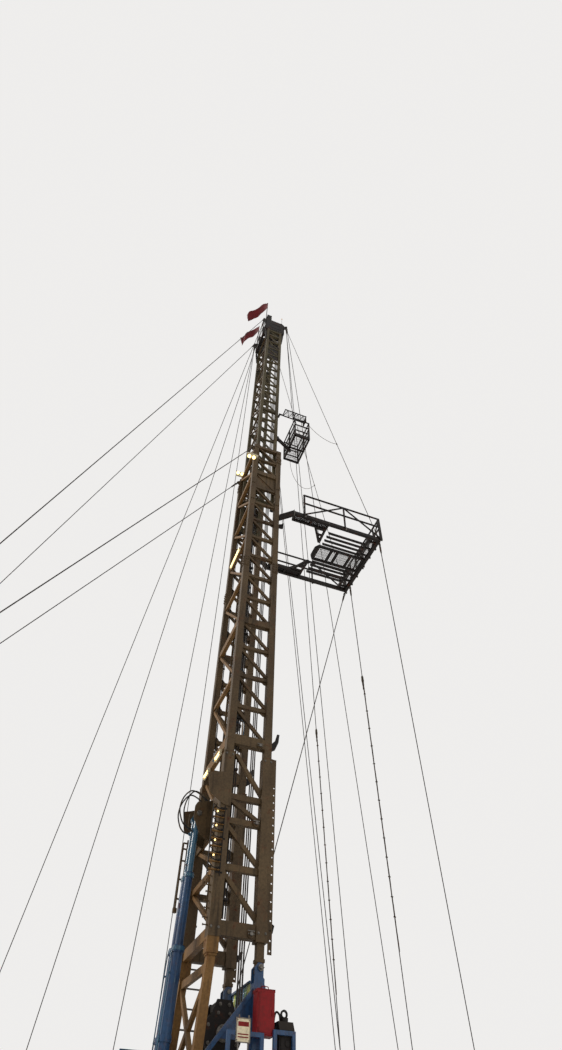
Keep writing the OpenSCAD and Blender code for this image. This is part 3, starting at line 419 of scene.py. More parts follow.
class Build:
    """Gathers parts and makes one mesh of them."""

    def __init__(self):
        self.points, self.faces = [], []

    def skin(self, rings, closed=False):
        """Faces between rings of points, capped at the ends unless the last ring joins the first."""
        first, count = len(self.points), len(rings[0])
        for one in rings:
            self.points.extend(one)
        spans = len(rings) if closed else len(rings) - 1
        for k in range(spans):
            low, high = first + k * count, first + (k + 1) % len(rings) * count
            for i in range(count):
                j = (i + 1) % count
                self.faces.append((low + i, low + j, high + j, high + i))
        if not closed:
            last = first + (len(rings) - 1) * count
            self.faces.append(tuple(range(first + count - 1, first - 1, -1)))
            self.faces.append(tuple(range(last, last + count)))
        return self

    def bar(self, a, b, wide, tall=None, edge=0.003, up=Z):
        """A straight bar with broken edges; without edge a plain flat one."""
        a, b = Vector(a), Vector(b)
        side, top = across(b - a, up)
        w, t = wide / 2, (tall or wide) / 2
        if not edge:
            corners = [side * u + top * v for u, v in ((w, -t), (w, t), (-w, t), (-w, -t))]
            return self.skin([[end + corner for corner in corners] for end in (a, b)])
        e = min(edge, w * 0.4, t * 0.4, (b - a).length * 0.2)
        ahead = (b - a).normalized() * e
        rings = []
        for middle, k in ((a, 1), (a + ahead, 0), (b - ahead, 0), (b, 1)):
            u, v = w - k * e, t - k * e
            rings.append([middle + side * p + top * q for p, q in (
                (u - e, -v), (u, e - v), (u, v - e), (u - e, v), (e - u, v), (-u, v - e), (-u, e - v), (e - u, -v))])
        return self.skin(rings)

    def box(self, a, b, edge=0.003):
        """A block between two opposite corners, in any order."""
        a, b = Vector(a), Vector(b)
        middle, size = (a + b) / 2, b - a
        return self.bar((a.x, middle.y, middle.z), (b.x, middle.y, middle.z), abs(size.y), abs(size.z), edge)

    def turned(self, start, along, profile, sides=16):
        """A turned part: profile is pairs of distance along and radius."""
        start, along = Vector(start), Vector(along).normalized()
        side, top = across(along)
        return self.skin([ring(start + along * d, side, top, r, sides) for d, r in profile])

    def rod(self, a, b, radius, sides=12):
        a, b = Vector(a), Vector(b)
        length = (b - a).length
        e = min(radius * 0.15, length * 0.2)
        return self.turned(
            a, b - a, [(0, radius - e), (e, radius), (length - e, radius), (length, radius - e)], sides)

    def swept(self, path, radius, sides=10, closed=False):
        """A round part along a path; radius is one value or a list with one for each point."""
        count = len(path)
        radii = radius if isinstance(radius, list) else [radius] * count
        side = across(path[1] - path[0])[0]
        rings = []
        for i, p in enumerate(path):
            if closed:
                ahead = path[(i + 1) % count] - path[i - 1]
            else:
                ahead = path[min(i + 1, count - 1)] - path[max(i - 1, 0)]
            ahead.normalize()
            side = (side - ahead * side.dot(ahead)).normalized()
            rings.append(ring(p, side, side.cross(ahead), radii[i], sides))
        return self.skin(rings, closed)

    def hose(self, given, radius, sides=10, steps=6):
        return self.swept(curve_through(given, steps), radius, sides)

    def hoop(self, middle, side, top, wide, tall, radius, sides=8, count=20):
        """A closed link of round bar."""
        return self.swept(ring(Vector(middle), side * wide, top * tall, 1, count), radius, sides, closed=True)

    def plate(self, outline, thick):
        """A flat plate: its outline, and the vector through its thickness."""
        outline, thick = [Vector(p) for p in outline], Vector(thick)
        return self.skin([outline, [p + thick for p in outline]])

    def bolt(self, at, along, size=0.012):
        """A hexagon nut on its washer with the stud's end, on a face at that point."""
        at, along = Vector(at), Vector(along).normalized()
        side, top = across(along)
        self.turned(at, along, [(0, size * 1.75), (size * 0.22, size * 1.9), (size * 0.35, size * 1.75)], 14)
        self.skin([ring(at + along * (size * d), side, top, size * r, 6)
                   for d, r in ((0.3, 1.5), (0.4, 1.6), (1.3, 1.6), (1.45, 1.4))])
        stud = [(0, size * 0.8), (size * 0.6, size * 0.8), (size * 0.8, size * 0.6)]
        return self.turned(at + along * size * 1.4, along, stud, 10)

    def bolts(self, places, along, size=0.012):
        for at in places:
            self.bolt(at, along, size)

    def bead(self, corners, radius=0.005, ripple=0.012):
        """A weld bead that runs round through the corners, rippled."""
        path = []
        for a, b in zip(corners, corners[1:] + corners[:1]):
            a, b = Vector(a), Vector(b)
            many = max(2, int((b - a).length / ripple))
            path += [a + (b - a) * (i / many) for i in range(many)]
        return self.swept(path, [radius * (1.15 if i % 2 else 0.8) for i in range(len(path))], 5, closed=True)

    def grating(self, a, b, along_x=True, pitch=0.034, tie=0.1):
        """A steel grating between two opposite corners: standing flats and round ties, in a rim."""
        (x0, x1), (y0, y1), (z0, z1) = (sorted(pair) for pair in zip(a, b))
        z, tall = (z0 + z1) / 2, z1 - z0
        (u0, u1), (v0, v1) = ((y0, y1), (x0, x1)) if along_x else ((x0, x1), (y0, y1))

        def spot(u, v, height=z):
            return (v, u, height) if along_x else (u, v, height)

        many = max(2, round((u1 - u0) / pitch))
        for u in (u0 + (u1 - u0) * i / many for i in range(many + 1)):
            self.bar(spot(u, v0), spot(u, v1), 0.004, tall, 0)
        ties = max(2, round((v1 - v0) / tie))
        for i in range(1, ties):
            v, height = v0 + (v1 - v0) * i / ties, z1 - 0.004
            self.rod(spot(u0, v, height), spot(u1, v, height), 0.003, 6)
        for v in (v0, v1):
            self.bar(spot(u0, v), spot(u1, v), 0.005, tall, 0)

    def done(self, name, finish, slot, body=MAST, stands_for=()):
        mesh = bpy.data.meshes.new(name)
        mesh.from_pydata(self.points, [], self.faces)
        form = bmesh.new()
        form.from_mesh(mesh)
        bmesh.ops.recalc_face_normals(form, faces=form.faces)
        form.to_mesh(mesh)
        form.free()
        for face in mesh.polygons:
            face.use_smooth = True
        mesh.set_sharp_from_angle(angle=SHARP)
        mesh.materials.append(finish)
        piece = bpy.data.objects.new(name, mesh)
        bpy.context.scene.collection.objects.link(piece)
        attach(piece, body)
        if stands_for:
            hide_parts(*stands_for)
        return piece


# Free ropes and hoses
def free_cord(name, given, diameter, finish, slot):
    path = curve_through(given, 6)
    piece = Build().swept(path, diameter / 2, 10).done(name, finish, slot)


ROPE_D, HOSE_D = 0.014, 0.026
for tag, length, route in (
        ("step", 1.77, [
            (1.362, -0.905, 21.17), (1.4, -0.909, 21.06), (1.52, -0.918, 20.8), (1.72, -0.935, 20.5),
            (1.95, -0.955, 20.255), (2.18, -0.978, 20.095), (2.38, -0.998, 20.018), (2.549, -1.03, 20.012)]),
        ("basket", 2.54, [
            (1.162, 0.099, 19.728), (1.175, 0.115, 19.6), (1.25, 0.19, 19.3), (1.42, 0.34, 19.1),
            (1.68, 0.54, 19.06), (1.98, 0.73, 19.22), (2.28, 0.9, 19.58), (2.54, 1.03, 20.056)])):
    free_cord("slack_rope_" + tag, route, ROPE_D, slack_line, "wire_rope")

KNOT = [(0, 0.006), (0.003, 0.012), (0.01, 0.014), (0.018, 0.013), (0.024, 0.01), (0.034, 0.009), (0.04, 0.0072)]
knots = Build()
for end, exit_way in (
        ((1.362, -0.905, 21.172), (0.3, -0.04, -0.95)), ((1.162, 0.099, 19.732), (0.06, 0.09, -0.99))):
    knots.turned(end, exit_way, KNOT, 14)
for side, end in ((-1, (2.549, -1.0145, 20.012)), (1, (2.54, 1.013, 20.056))):
    stay = Vector((0.197, side * 0.036, -0.98)).normalized()
    for k in range(4):
        knots.hoop(Vector(end) + stay * (0.0135 * k - 0.02), X, stay.cross(X), 0.015, 0.015, 0.0062, 8, 18)
knots.done("rope_knots", slack_line, "wire_rope")

# Hoses loop from a fitting on the gussets over the ram heads; size is that of the loop
for tag, side, y, size, drop, length in (
        ("near", -1, 0.08, 1.0, 0, 1.41), ("near_inner", -1, 0.135, 0.66, 0.03, 1.27),
        ("far", 1, 0.09, 0.86, 0, 1.34)):
    free_cord("ram_hose_" + tag, [(x, side * y_out, z) for x, y_out, z in (
        (-0.461, y, 6.78 + 0.02 * size), (-0.53, y, 6.8 + 0.02 * size), (-0.68, y, 6.9 + 0.04 * size),
        (-0.76 - 0.1 * size, y, 6.88 + 0.1 * size), (-0.8 - 0.2 * size, 0.115, 6.72 + 0.1 * size),
        (-0.81 - 0.24 * size, 0.12, 6.56 + 0.04 * size), (-0.81 - 0.18 * size, 0.12, 6.4),
        (-0.82 - 0.08 * size, 0.115, 6.3), (-0.8, 0.11, 6.272 - drop), (-0.745, 0.11, 6.27 - drop))],
        HOSE_D, rubber, "dark_steel")


# Measures of the CAD frame, in metres
LEG_X, LEG_Y, LEG_HALF, THICK_HALF = 0.39, 0.78, 0.075, 0.097
UP_X, UP_Y, UP_HALF = 0.3, 0.64, 0.055
BAND_Z, LOW_BAY, LOW_TOP, THICK_Z = 7.79, 0.765, 18.5, 7.5
UP_Z, UP_BAY = 15.8, 0.7
KNEE_Z, FLOOR_Z, BOARD_Z, CROWN_Z, BASKET_Z, STEP_Z = 4.47, 2.3, 15.0, 29.0, 19.77, 21.15
PLATE_Y, PLATE_T, HOIST_X, LUG_Y = 0.681, 0.014, 0.06, 0.688
BLOCK_Z, HOOK_Z, SHEAVE_Z = 3.45, 2.5, 29.95
SKIN = 0.0005
BOTH = (-1, 1)


# Pennants: tapered cloths that stream from their poles, in folds that grow towards the fly
WIND = Vector((math.cos(math.radians(132)), math.sin(math.radians(132)), 0))
LEE = Vector((-WIND.y, WIND.x, 0))
POLE_R, CLOTH_T, COLUMNS, ROWS = 0.0195, 0.002, 56, 16


def pennant(name, pole, hoist, fly, droop, folds, phase, lean):
    chance = random.Random(7)
    frays = [0.06 * chance.random() for _ in range(ROWS + 1)]
    points, faces = [], []
    for i in range(COLUMNS + 1):
        u = i / COLUMNS
        low = -droop * u ** 1.6 + 0.22 * u * (1 - u)
        high = hoist - (hoist * 0.8 + droop * 0.05) * u ** 0.9 - 0.06 * math.sin(math.pi * u)
        flutter = 0.018 * u * math.sin(11 * u + phase)
        for j in range(ROWS + 1):
            w = j / ROWS
            reach = fly * u * (1 - frays[j] * u ** 6)
            swing = 0.06 * u ** 0.7 * math.sin(folds * u * (1 + 0.12 * w) + 0.5 * w + phase)
            swing += 0.014 * u * math.sin(19 * u + 4.0 * w + 2 * phase) + lean * (1 - math.exp(-7 * u)) * (w - 0.5)
            points.append(pole + WIND * (POLE_R + reach) + LEE * swing + Z * (low + (high - low) * w + flutter))
    for i in range(COLUMNS):
        for j in range(ROWS):
            a = i * (ROWS + 1) + j
            faces.append((a, a + ROWS + 1, a + ROWS + 2, a + 1))
    mesh = bpy.data.meshes.new(name)
    mesh.from_pydata(points, [], faces)
    for face in mesh.polygons:
        face.use_smooth = True
    mesh.materials.append(pennant_cloth)
    cloth = bpy.data.objects.new(name, mesh)
    bpy.context.scene.collection.objects.link(cloth)
    thick = cloth.modifiers.new("weave", "SOLIDIFY")
    thick.thickness = CLOTH_T
    thick.offset = 0
    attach(cloth, MAST)
    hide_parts("pennants")
    return cloth


def pennant_sleeve(name, pole, hoist):
    """The hem that holds the cloth to its pole, with a lashing at each end."""
    sleeve = Build()
    gathers = [(0.02 + (hoist - 0.02) * k / 24, 0.0225 + 0.0014 * math.sin(k * 1.9)) for k in range(25)]
    sleeve.turned(pole - Z * 0.01, Z, [(0, POLE_R), (0.004, 0.0235)] + gathers + [(hoist + 0.012, POLE_R)], 18)
    for z in (0.03, hoist - 0.03):
        sleeve.hoop(pole + Z * z, X, Y, 0.026, 0.026, 0.003, 6, 16)
    return sleeve.done(name + "_sleeve", pennant_cloth, "pennant_cloth")


for name, side, hoist, fly, droop, folds, phase, lean, flat, cut in (
        ("pennant_near", -1, 0.66, 1.12, 0.34, 7.6, 0.4, 0.27, (1.3, 0.76), 0.56),
        ("pennant_far", 1, 0.6, 1.05, 0.4, 8.6, 2.1, 0.2, (1.25, 0.7), 0.5)):
    pole = Vector((-0.46, side * 0.651, 31.66))
    cloth = pennant(name, pole, hoist, fly, droop, folds, phase, lean)
    hem = pennant_sleeve(name, pole, hoist)


# Guy lines: shackle, thimble and socket at the top, clips and turnbuckle at the anchor
def anchor(x, y):
    return Vector((x, y, 0.16))


NEAR_BACK, FAR_BACK = Vector((-0.56, -LUG_Y, 30.0)), Vector((-0.56, LUG_Y, 30.0))
NEAR_WELL, FAR_WELL = Vector((0.57, -LUG_Y, 29.97)), Vector((0.57, LUG_Y, 29.97))
SIDE_EYE, HOLE_STEP = Vector((0, LUG_Y, 29.9)), Vector((0, 0, 0.11))
NEAR_CORNER, FAR_CORNER = Vector((3.56, -1.18, 15.0)), Vector((3.56, 1.18, 15.0))
BEAM_EYE = Vector((3.56, 0.85, 14.98))
GUYS = [
    (FAR_BACK, anchor(-11.0, 4.57)), (NEAR_BACK, anchor(-8.0, -3.11)),
    (NEAR_BACK - HOLE_STEP, anchor(-3.99, 13.0)), (NEAR_BACK - 2 * HOLE_STEP, anchor(-2.3, 13.0)),
    (FAR_BACK - HOLE_STEP, anchor(0.45, 13.0)), (FAR_BACK - 2 * HOLE_STEP, anchor(1.78, 13.0)),
    (NEAR_WELL, anchor(7.3, 10.5)), (NEAR_WELL - HOLE_STEP, anchor(7.84, 10.5)),
    (NEAR_WELL + Vector((0.03, 0, 0.03)), anchor(9.51, 10.5)),
    (SIDE_EYE, anchor(7.04, 9.5)), (SIDE_EYE - HOLE_STEP, anchor(7.84, 11.5)),
    (Vector((-0.52, 0.78, 18.35)), anchor(-12.0, 2.81)), (Vector((-0.52, -0.78, 18.35)), anchor(-8.5, -3.84)),
    (NEAR_CORNER - Z * 0.04, anchor(10.99, 9.0)), (FAR_CORNER - Z * 0.04, anchor(0.82, 6.0)),
    (BEAM_EYE, anchor(9.17, 9.5)),
]
STAYS = [(NEAR_WELL - 2 * HOLE_STEP, NEAR_CORNER + Z * 0.04), (FAR_WELL - 2 * HOLE_STEP, FAR_CORNER + Z * 0.04)]
SWAGE = ((0, 0.021), (0.02, 0.029), (0.17, 0.026), (0.23, 0.0155))


def rope_top(made, eye, far, size=1.0):
    """Shackle and swaged socket at the upper end of a rope."""
    down = (far - eye).normalized()
    side, top = across(down, Y)
    bow = [eye + top * (0.036 * size * math.cos(a)) + down * (0.05 + 0.06 * math.sin(a)) * size
           for a in (math.pi * i / 14 for i in range(15))]
    start, finish = (eye + top * s * 0.036 * size - down * 0.01 for s in (1, -1))
    made.swept([start] + bow + [finish], 0.009 * size, 8)
    made.rod(eye - top * 0.055 * size, eye + top * 0.055 * size, 0.011 * size, 10)
    made.bolt(eye + top * 0.046 * size, top, 0.009 * size)
    made.hoop(eye + down * 0.125 * size, side, down, 0.03 * size, 0.045 * size, 0.011 * size, 8, 18)
    made.turned(eye + down * 0.165 * size, down, [(d, r * size) for d, r in SWAGE], 16)


def rope_foot(made, eye, near):
    """Turnbuckle and four rope clips at the lower end."""
    up = (near - eye).normalized()
    side, top = across(up, Z)
    made.hoop(eye + up * 0.02, top, up, 0.035, 0.05, 0.012, 8, 18)
    for s in BOTH:
        made.bar(eye + up * 0.17 + side * s * 0.03, eye + up * 0.56 + side * s * 0.03, 0.016, 0.03, 0.004, top)
    for d, profile, sides in (
            (0.13, [(0, 0.028), (0.008, 0.038), (0.05, 0.038), (0.058, 0.028)], 14),
            (0.55, [(0, 0.028), (0.008, 0.038), (0.05, 0.038), (0.058, 0.028)], 14),
            (0.06, [(0, 0.016), (0.08, 0.016)], 12),
            (0.6, [(0, 0.016), (0.1, 0.016), (0.11, 0.022), (0.17, 0.022), (0.18, 0.014)], 12)):
        made.turned(eye + up * d, up, profile, sides)
    tail = [eye + up * (0.78 + 0.07 * i) + side * (0.027 + 0.004 * math.sin(i)) for i in range(11)]
    made.swept(tail, 0.012, 8)
    for d in (0.86, 1.02, 1.18, 1.34):
        at = eye + up * d
        made.bar(at - side * 0.026, at + side * 0.05, 0.03, 0.046, 0.005, top)
        for s in BOTH:
            arm = at + side * (0.012 + s * 0.02)
            made.rod(arm - top * 0.034, arm + top * 0.045, 0.005, 8)
            made.bolt(arm + top * 0.023, top, 0.006)


def ground_stake(made, foot):
    """Bolts and ribs on the anchor's plate, and the collar of its post."""
    base = Vector((foot.x, foot.y, 0))
    made.bolts(ring(base + Z * 0.03, X, Y, 0.105, 4, math.pi / 4), Z, 0.008)
    for out in ring(Vector(), X, Y, 1.0, 4):
        square = out.cross(Z) * 0.004
        made.plate([base + out * reach + Z * z - square for reach, z in (
            (0.044, 0.03), (0.12, 0.03), (0.12, 0.045), (0.044, 0.11))], square * 2)
    made.turned((foot.x, foot.y, 0.19), Z, [(0, 0.046), (0.01, 0.052), (0.022, 0.052), (0.034, 0.03)], 20)


tops, feet, stakes = Build(), Build(), Build()
for eye, foot in GUYS:
    rope_top(tops, eye, foot)
    rope_foot(feet, foot, eye)
    ground_stake(stakes, foot)
for low, high in STAYS:
    rope_top(tops, low, high, 0.85)
    rope_top(tops, high, low, 0.85)
tops.done("guy_shackles", forged_steel, "grey_steel")
feet.done("guy_turnbuckles", forged_steel, "grey_steel")
stakes.done("anchor_fittings", bare_steel, "grey_steel")

# Sockets part of the way down two guys, with the doubled rope and its clips below them
joints = Build()
for top_end, foot, share in ((NEAR_WELL, anchor(7.3, 10.5), 0.5768), (BEAM_EYE, anchor(9.17, 9.5), 0.1589)):
    down = (foot - top_end).normalized()
    side, top = across(down, X)
    start = top_end + (foot - top_end) * share
    joints.turned(start, down,
                  [(0, 0.016), (0.04, 0.034), (0.16, 0.04), (0.22, 0.03), (0.3, 0.03), (0.33, 0.02)], 18)
    joints.hoop(start + down * 0.38, side, down, 0.035, 0.06, 0.013, 8, 18)
    joints.swept([start + down * (0.3 + 0.12 * i) + side * (0.027 + 0.006 * math.sin(0.9 * i))
                  for i in range(60)], 0.012, 8)
    for k in range(13):
        spot = start + down * (0.55 + 0.5 * k)
        joints.bar(spot - side * 0.024, spot + side * 0.05, 0.03, 0.046, 0.005, top)
        joints.rod(spot + side * 0.013 - top * 0.036, spot + side * 0.013 + top * 0.04, 0.006, 8)
joints.done("guy_sockets", forged_steel, "wire_rope")


# Mast walls: weld beads where bars meet the legs, gusset plates at the nodes
def loop(place, wide, tall, axes=(1, 2)):
    """Four corners round a place, wide and tall from it along those two axes."""
    corners = []
    for signs in ((-1, -1), (1, -1), (1, 1), (-1, 1)):
        corner = list(place)
        for axis, sign, reach in zip(axes, signs, (wide, tall)):
            corner[axis] += sign * reach
        corners.append(corner)
    return corners


def wall_beads(made, y, leg_x, leg_half, levels, bay, brace, strut, radius):
    """Beads round the ends of a side wall's diagonals and struts, on the legs' faces."""
    face, drop = leg_x - leg_half, bay * leg_half / (2 * leg_x)
    for z in levels:
        for x, brace_z in ((-face, z + bay - drop), (face, z + drop)):
            made.bead(loop((x, y, brace_z), *brace), radius)
            made.bead(loop((x, y, z), strut, strut), radius)


LOW_LEVELS = [BAND_Z + i * LOW_BAY for i in range(14)]
UP_LEVELS = [UP_Z + i * UP_BAY for i in range(18)]
SIDE_GUSSET = ((0, -0.11), (0, 0.13), (0.35, 0.13), (1, 0.03), (1, -0.05), (0.4, -0.11))
BACK_GUSSET = ((0, -0.14), (0, 0.12), (0.4, 0.12), (1, 0.02), (1, -0.05), (0.5, -0.14))
BACK_WALL = -0.394
welds, gussets = Build(), Build()
for side in BOTH:
    wall_beads(welds, side * LEG_Y, LEG_X, LEG_HALF, LOW_LEVELS, LOW_BAY, (0.032, 0.044), 0.042, 0.005)
    wall_beads(welds, side * UP_Y, UP_X, UP_HALF, UP_LEVELS, UP_BAY, (0.026, 0.037), 0.032, 0.004)
    y, face = side * LEG_Y, LEG_X - LEG_HALF
    for z in LOW_LEVELS:
        for s, corner_z in ((-1, z + LOW_BAY), (1, z)):
            gussets.plate(
                [(s * (face - 0.13 * u), y - 0.006, corner_z + dz) for u, dz in SIDE_GUSSET], Y * 0.012)
    for z, half in ((BAND_Z, LEG_HALF), (THICK_Z, THICK_HALF)):
        for x in (-LEG_X, LEG_X):
            welds.bead(loop((x, y, z), half, half, (0, 1)), 0.006)
for z in LOW_LEVELS[::2]:
    for side, corner_z in ((-1, z), (1, z + 2 * LOW_BAY)):
        y = side * (LEG_Y - LEG_HALF)
        welds.bead(loop((-0.395, y, z), 0.035, 0.042, (0, 2)))
        gussets.plate([(BACK_WALL, y - side * 0.16 * u, corner_z + dz) for u, dz in BACK_GUSSET], X * -0.012)
welds.done("weld_beads", weld_metal, "bronze_paint")
gussets.done("node_gussets", lattice_paint, "bronze_paint")

# Dark cover plates high on the near side, and step pegs on the near back leg
covers = Build()
for z in (25.97, 26.68):
    covers.box((-0.243, -0.6525, z), (0.243, -0.6485, z + 0.65), 0.001)
    covers.bolts(spots((-0.22, 0, 0.22), -0.6525, (z + 0.03, z + 0.62)), -Y, 0.007)
covers.done("crown_side_covers", black_paint, "dark_steel")
PEG = [(0, 0.016), (0.006, 0.016), (0.008, 0.01), (0.075, 0.01), (0.077, 0.017), (0.085, 0.017)]
pegs = Build()
for k in range(12):
    pegs.turned((-0.487, -0.8 + 0.05 * (k % 2), 4.62 + 0.115 * k), -X, PEG, 12)
pegs.done("leg_step_pegs", mast_paint, "bronze_paint")

# Splice plates with bolts on the lower legs, and the bolts of brackets and guide pads on their outer faces
splices = Build()
for sx in BOTH:
    for sy in BOTH:
        x, y = sx * LEG_X, sy * LEG_Y
        for z in (BAND_Z + 7 * LOW_BAY - 0.3, LOW_TOP - 0.55):
            for out, wide in ((X * sx, Y), (Y * sy, X)):
                face = Vector((x, y, z)) + out * (LEG_HALF + SKIN)
                splices.box(face - wide * 0.06 - Z * 0.17, face + wide * 0.06 + Z * 0.17 + out * 0.012, 0.002)
                splices.bolts([face + out * 0.012 + wide * u + Z * v
                               for u in (-0.035, 0.035) for v in (-0.13, -0.05, 0.05, 0.13)], out, 0.01)
        for z in (15.545, 16.34, 18.34):
            splices.bolts(spots((x - 0.03, x + 0.03), y + sy * (LEG_HALF + SKIN), z), Y * sy, 0.012)
splices.done("leg_splices", mast_paint, "bronze_paint")

# Pins through the bosses, with keeper plates, and the retainers of the ram head pin
pins = Build()
for side in BOTH:
    face = side * 0.875
    for z in (4.56, 6.24, 7.73):
        pins.turned((0.21, face, z), Y * side, [(0, 0.03), (0.03, 0.03), (0.036, 0.024)], 20)
        pins.box((0.15, face, z + 0.034), (0.27, face + side * 0.01, z + 0.05), 0.002)
        pins.bolts(spots((0.168, 0.252), face, z), Y * side, 0.006)
    for x in (-LEG_X, LEG_X):
        pins.bolts(spots((x - 0.06, x + 0.06), side * (LEG_Y + THICK_HALF), (THICK_Z - 0.06, KNEE_Z + 0.12)),
                   Y * side, 0.011)
    pins.turned((LEG_X, side * 0.893, 4.145), Y * side, [(0, 0.026), (0.025, 0.026), (0.031, 0.02)], 20)
    pins.rod((LEG_X - 0.05, side * 0.911, 4.145), (LEG_X + 0.05, side * 0.911, 4.145), 0.005, 8)
    pins.turned((-0.69, side * 0.22, 6.53), Y * side, [(0, 0.045), (0.012, 0.05), (0.022, 0.045)], 22)
    pins.bolts(around(Vector((-0.69, side * 0.242, 6.53)), X, Z, 0.03, (0.5, 2.6, 4.7)), Y * side, 0.006)
pins.done("pins_and_keepers", bare_steel, "grey_steel")

# Hydraulic tubes and conduit clamped along the mast
lines = Build()
for x, radius, top_z in ((-0.285, 0.016, 15.2), (-0.24, 0.016, 15.2), (-0.197, 0.012, 14.4)):
    lines.hose([(x + dx, -0.735 + dy, z) for dx, dy, z in (
        (0, 0, 4.75), (0, 0, 6.0), (0, 0, 8.0), (0, 0.004, 10.0), (0, 0, 12.0), (0, 0, top_z - 0.6), (0, 0, top_z),
        (0.005, 0.03, top_z + 0.1), (0.03, 0.1, top_z + 0.14))], radius, 10, 5)
lines.hose([(-0.29, 0.74, 4.8), (-0.29, 0.738, 7.0), (-0.29, 0.742, 10.0), (-0.29, 0.738, 13.0),
            (-0.29, 0.741, 16.0), (-0.29, 0.74, 18.2), (-0.33, 0.735, 18.42), (-0.42, 0.7, 18.55)], 0.011, 8)
for k in range(10):
    z = 5.0 + k * 1.1
    lines.box((-0.315, -0.775, z), (-0.175, -0.705, z + 0.04), 0.006)
    lines.bolts(spots((-0.262, -0.219), -0.705, z + 0.02), Y, 0.006)
    lines.box((-0.315, 0.722, z), (-0.27, 0.76, z + 0.03), 0.004)
lines.done("clamped_lines", black_paint, "dark_steel")

# Ladder inside the back of the mast: a run in each section, held by small brackets
RUNG_STEP = 0.3
ladder = Build()
for x, ys, (low, high), (wide, tall), (first, count, radius), (x0, x1), levels in (
        (-0.33, (-0.43, -0.07), (4.95, 18.3), (0.05, 0.012), (5.1, 44, 0.011), (-0.365, -0.32),
         (5.5, 7.7, 9.32, 10.85, 12.38, 13.91, 15.44, 16.97, 18.4)),
        (-0.268, (-0.38, -0.1), (18.6, 28.7), (0.01, 0.024), (18.7, 34, 0.009), (-0.3, -0.255),
         [18.6 + 1.4 * k for k in range(8)])):
    for y in ys:
        ladder.bar((x, y, low), (x, y, high), wide, tall, 0.002, Y)
        for z in levels:
            ladder.box((x0, y - 0.02, z - 0.02), (x1, y + 0.02, z + 0.02), 0.003)
    for k in range(count):
        z = first + k * RUNG_STEP
        ladder.rod((x, ys[0], z), (x, ys[1], z), radius, 8)
ladder.done("mast_ladder", lattice_paint, "bronze_paint")

# Valve rack on the outer side of the near back leg: two rails, slats, valves, their pipes and small lamps
RACK_BACK, RACK_FRONT, RACK_Y, RACK_Z, RACK_STEP = -0.605, -0.392, -0.876, 5.38, 0.12
VALVE = [(0, 0.02), (0.028, 0.02), (0.032, 0.012), (0.054, 0.012), (0.06, 0.007)]
rack, slats, eyes, rims = Build(), Build(), Build(), Build()
for x in (RACK_BACK, RACK_FRONT):
    rack.bar((x, RACK_Y, 5.3), (x, RACK_Y, 6.44), 0.036, 0.014, 0.003, X)
for z in (5.34, 5.87, 6.38):
    rack.box((-0.47, -0.88, z), (-0.345, -0.8555, z + 0.03), 0.003)
    rack.bolt((-0.362, -0.88, z + 0.015), -Y, 0.007)
for k in range(9):
    z = RACK_Z + k * RACK_STEP
    slats.box((RACK_BACK + 0.006, RACK_Y - 0.03, z), (RACK_FRONT - 0.006, RACK_Y + 0.016, z + 0.012), 0.002)
    rack.turned((-0.43, RACK_Y - 0.018, z + 0.029), -Y, VALVE, 14)
    rack.bar((-0.462, RACK_Y - 0.072, z + 0.027), (-0.398, RACK_Y - 0.072, z + 0.033), 0.01, 0.008, 0.002)
    rack.hose([(x, RACK_Y - out, z + dz) for x, out, dz in (
        (-0.447, 0.01, 0.032), (-0.5, 0.014, 0.036), (-0.545, 0.02, 0.05), (-0.575, 0.02, 0.085),
        (-0.598, 0.01, 0.1))], 0.008, 8, 4)
SLANT = Vector((-0.55, -0.75, -0.35)).normalized()
for z in (5.597, 5.837, 6.077, 6.317):
    foot = Vector((-0.52, RACK_Y - 0.026, z))
    rims.turned(foot - SLANT * 0.012, SLANT, [(0, 0.02), (0.03, 0.022), (0.034, 0.018)], 16)
    eyes.turned(foot + SLANT * 0.019, SLANT, [(0, 0.017), (0.006, 0.015), (0.01, 0.008)], 16)
rack.done("valve_rack", black_paint, "dark_steel")
# The slats take the same lighter copy of the bronze: painted sunlight.
slats.done("rack_slats", bronze_with_painted_sunlight, "bronze_paint")
rims.done("rack_lamp_rims", black_paint, "dark_steel")
eyes.done("rack_lamp_eyes", small_amber, "lamp_glass")


# Floodlights: finned body, bezel with screws, yoke, lens; on bars clamped to the mast
LAMP_BODY = [(0, 0.022), (0.004, 0.028), (0.03, 0.03), (0.034, 0.046), (0.045, 0.05), (0.1, 0.062),
             (0.104, 0.07), (0.124, 0.07), (0.127, 0.064), (0.12, 0.06)]
LAMP_PIVOT = [(-0.018, 0.011), (-0.002, 0.011), (0, 0.014), (0.014, 0.014), (0.018, 0.009)]
LAMP_FIN = ((0.028, 0.036), (0.06, 0.05), (0.066, 0.098), (0.05, 0.098))
NEAR_BAR_Z, FAR_BAR_Z, NEAR_BAR_Y, FAR_BAR_Y, LAMP_PITCH = 17.66, 18.54, -0.935, 0.62, 0.15


def floodlight(body, glass, middle, facing, hang):
    facing = Vector(facing).normalized()
    side, top = across(facing)
    back, yoke = middle - facing * 0.085, hang * 0.11
    body.turned(back, facing, LAMP_BODY, 28)
    for k, out in enumerate(ring(Vector(), side, top, 1, 12)):
        rim = facing.cross(out) * 0.002
        body.plate([back + out * r + facing * d - rim for r, d in LAMP_FIN], rim * 2)
        if k % 2:
            body.bolt(back + out * 0.066 + facing * 0.126, facing, 0.0026)
    glass.turned(middle + facing * 0.03, facing,
                 [(0, 0.058), (0.006, 0.056), (0.01, 0.045), (0.013, 0.025), (0.0138, 0.006)], 28)
    for s in BOTH:
        body.turned(middle + side * s * 0.072, side * s, LAMP_PIVOT, 12)
        body.bar(middle + side * s * 0.08, middle + side * s * 0.08 + yoke, 0.005, 0.028, 0.001, facing)
    body.bar(middle - side * 0.083 + yoke, middle + side * 0.083 + yoke, 0.028, 0.006, 0.001, hang)
    body.bolt(middle + hang * 0.113, hang, 0.007)


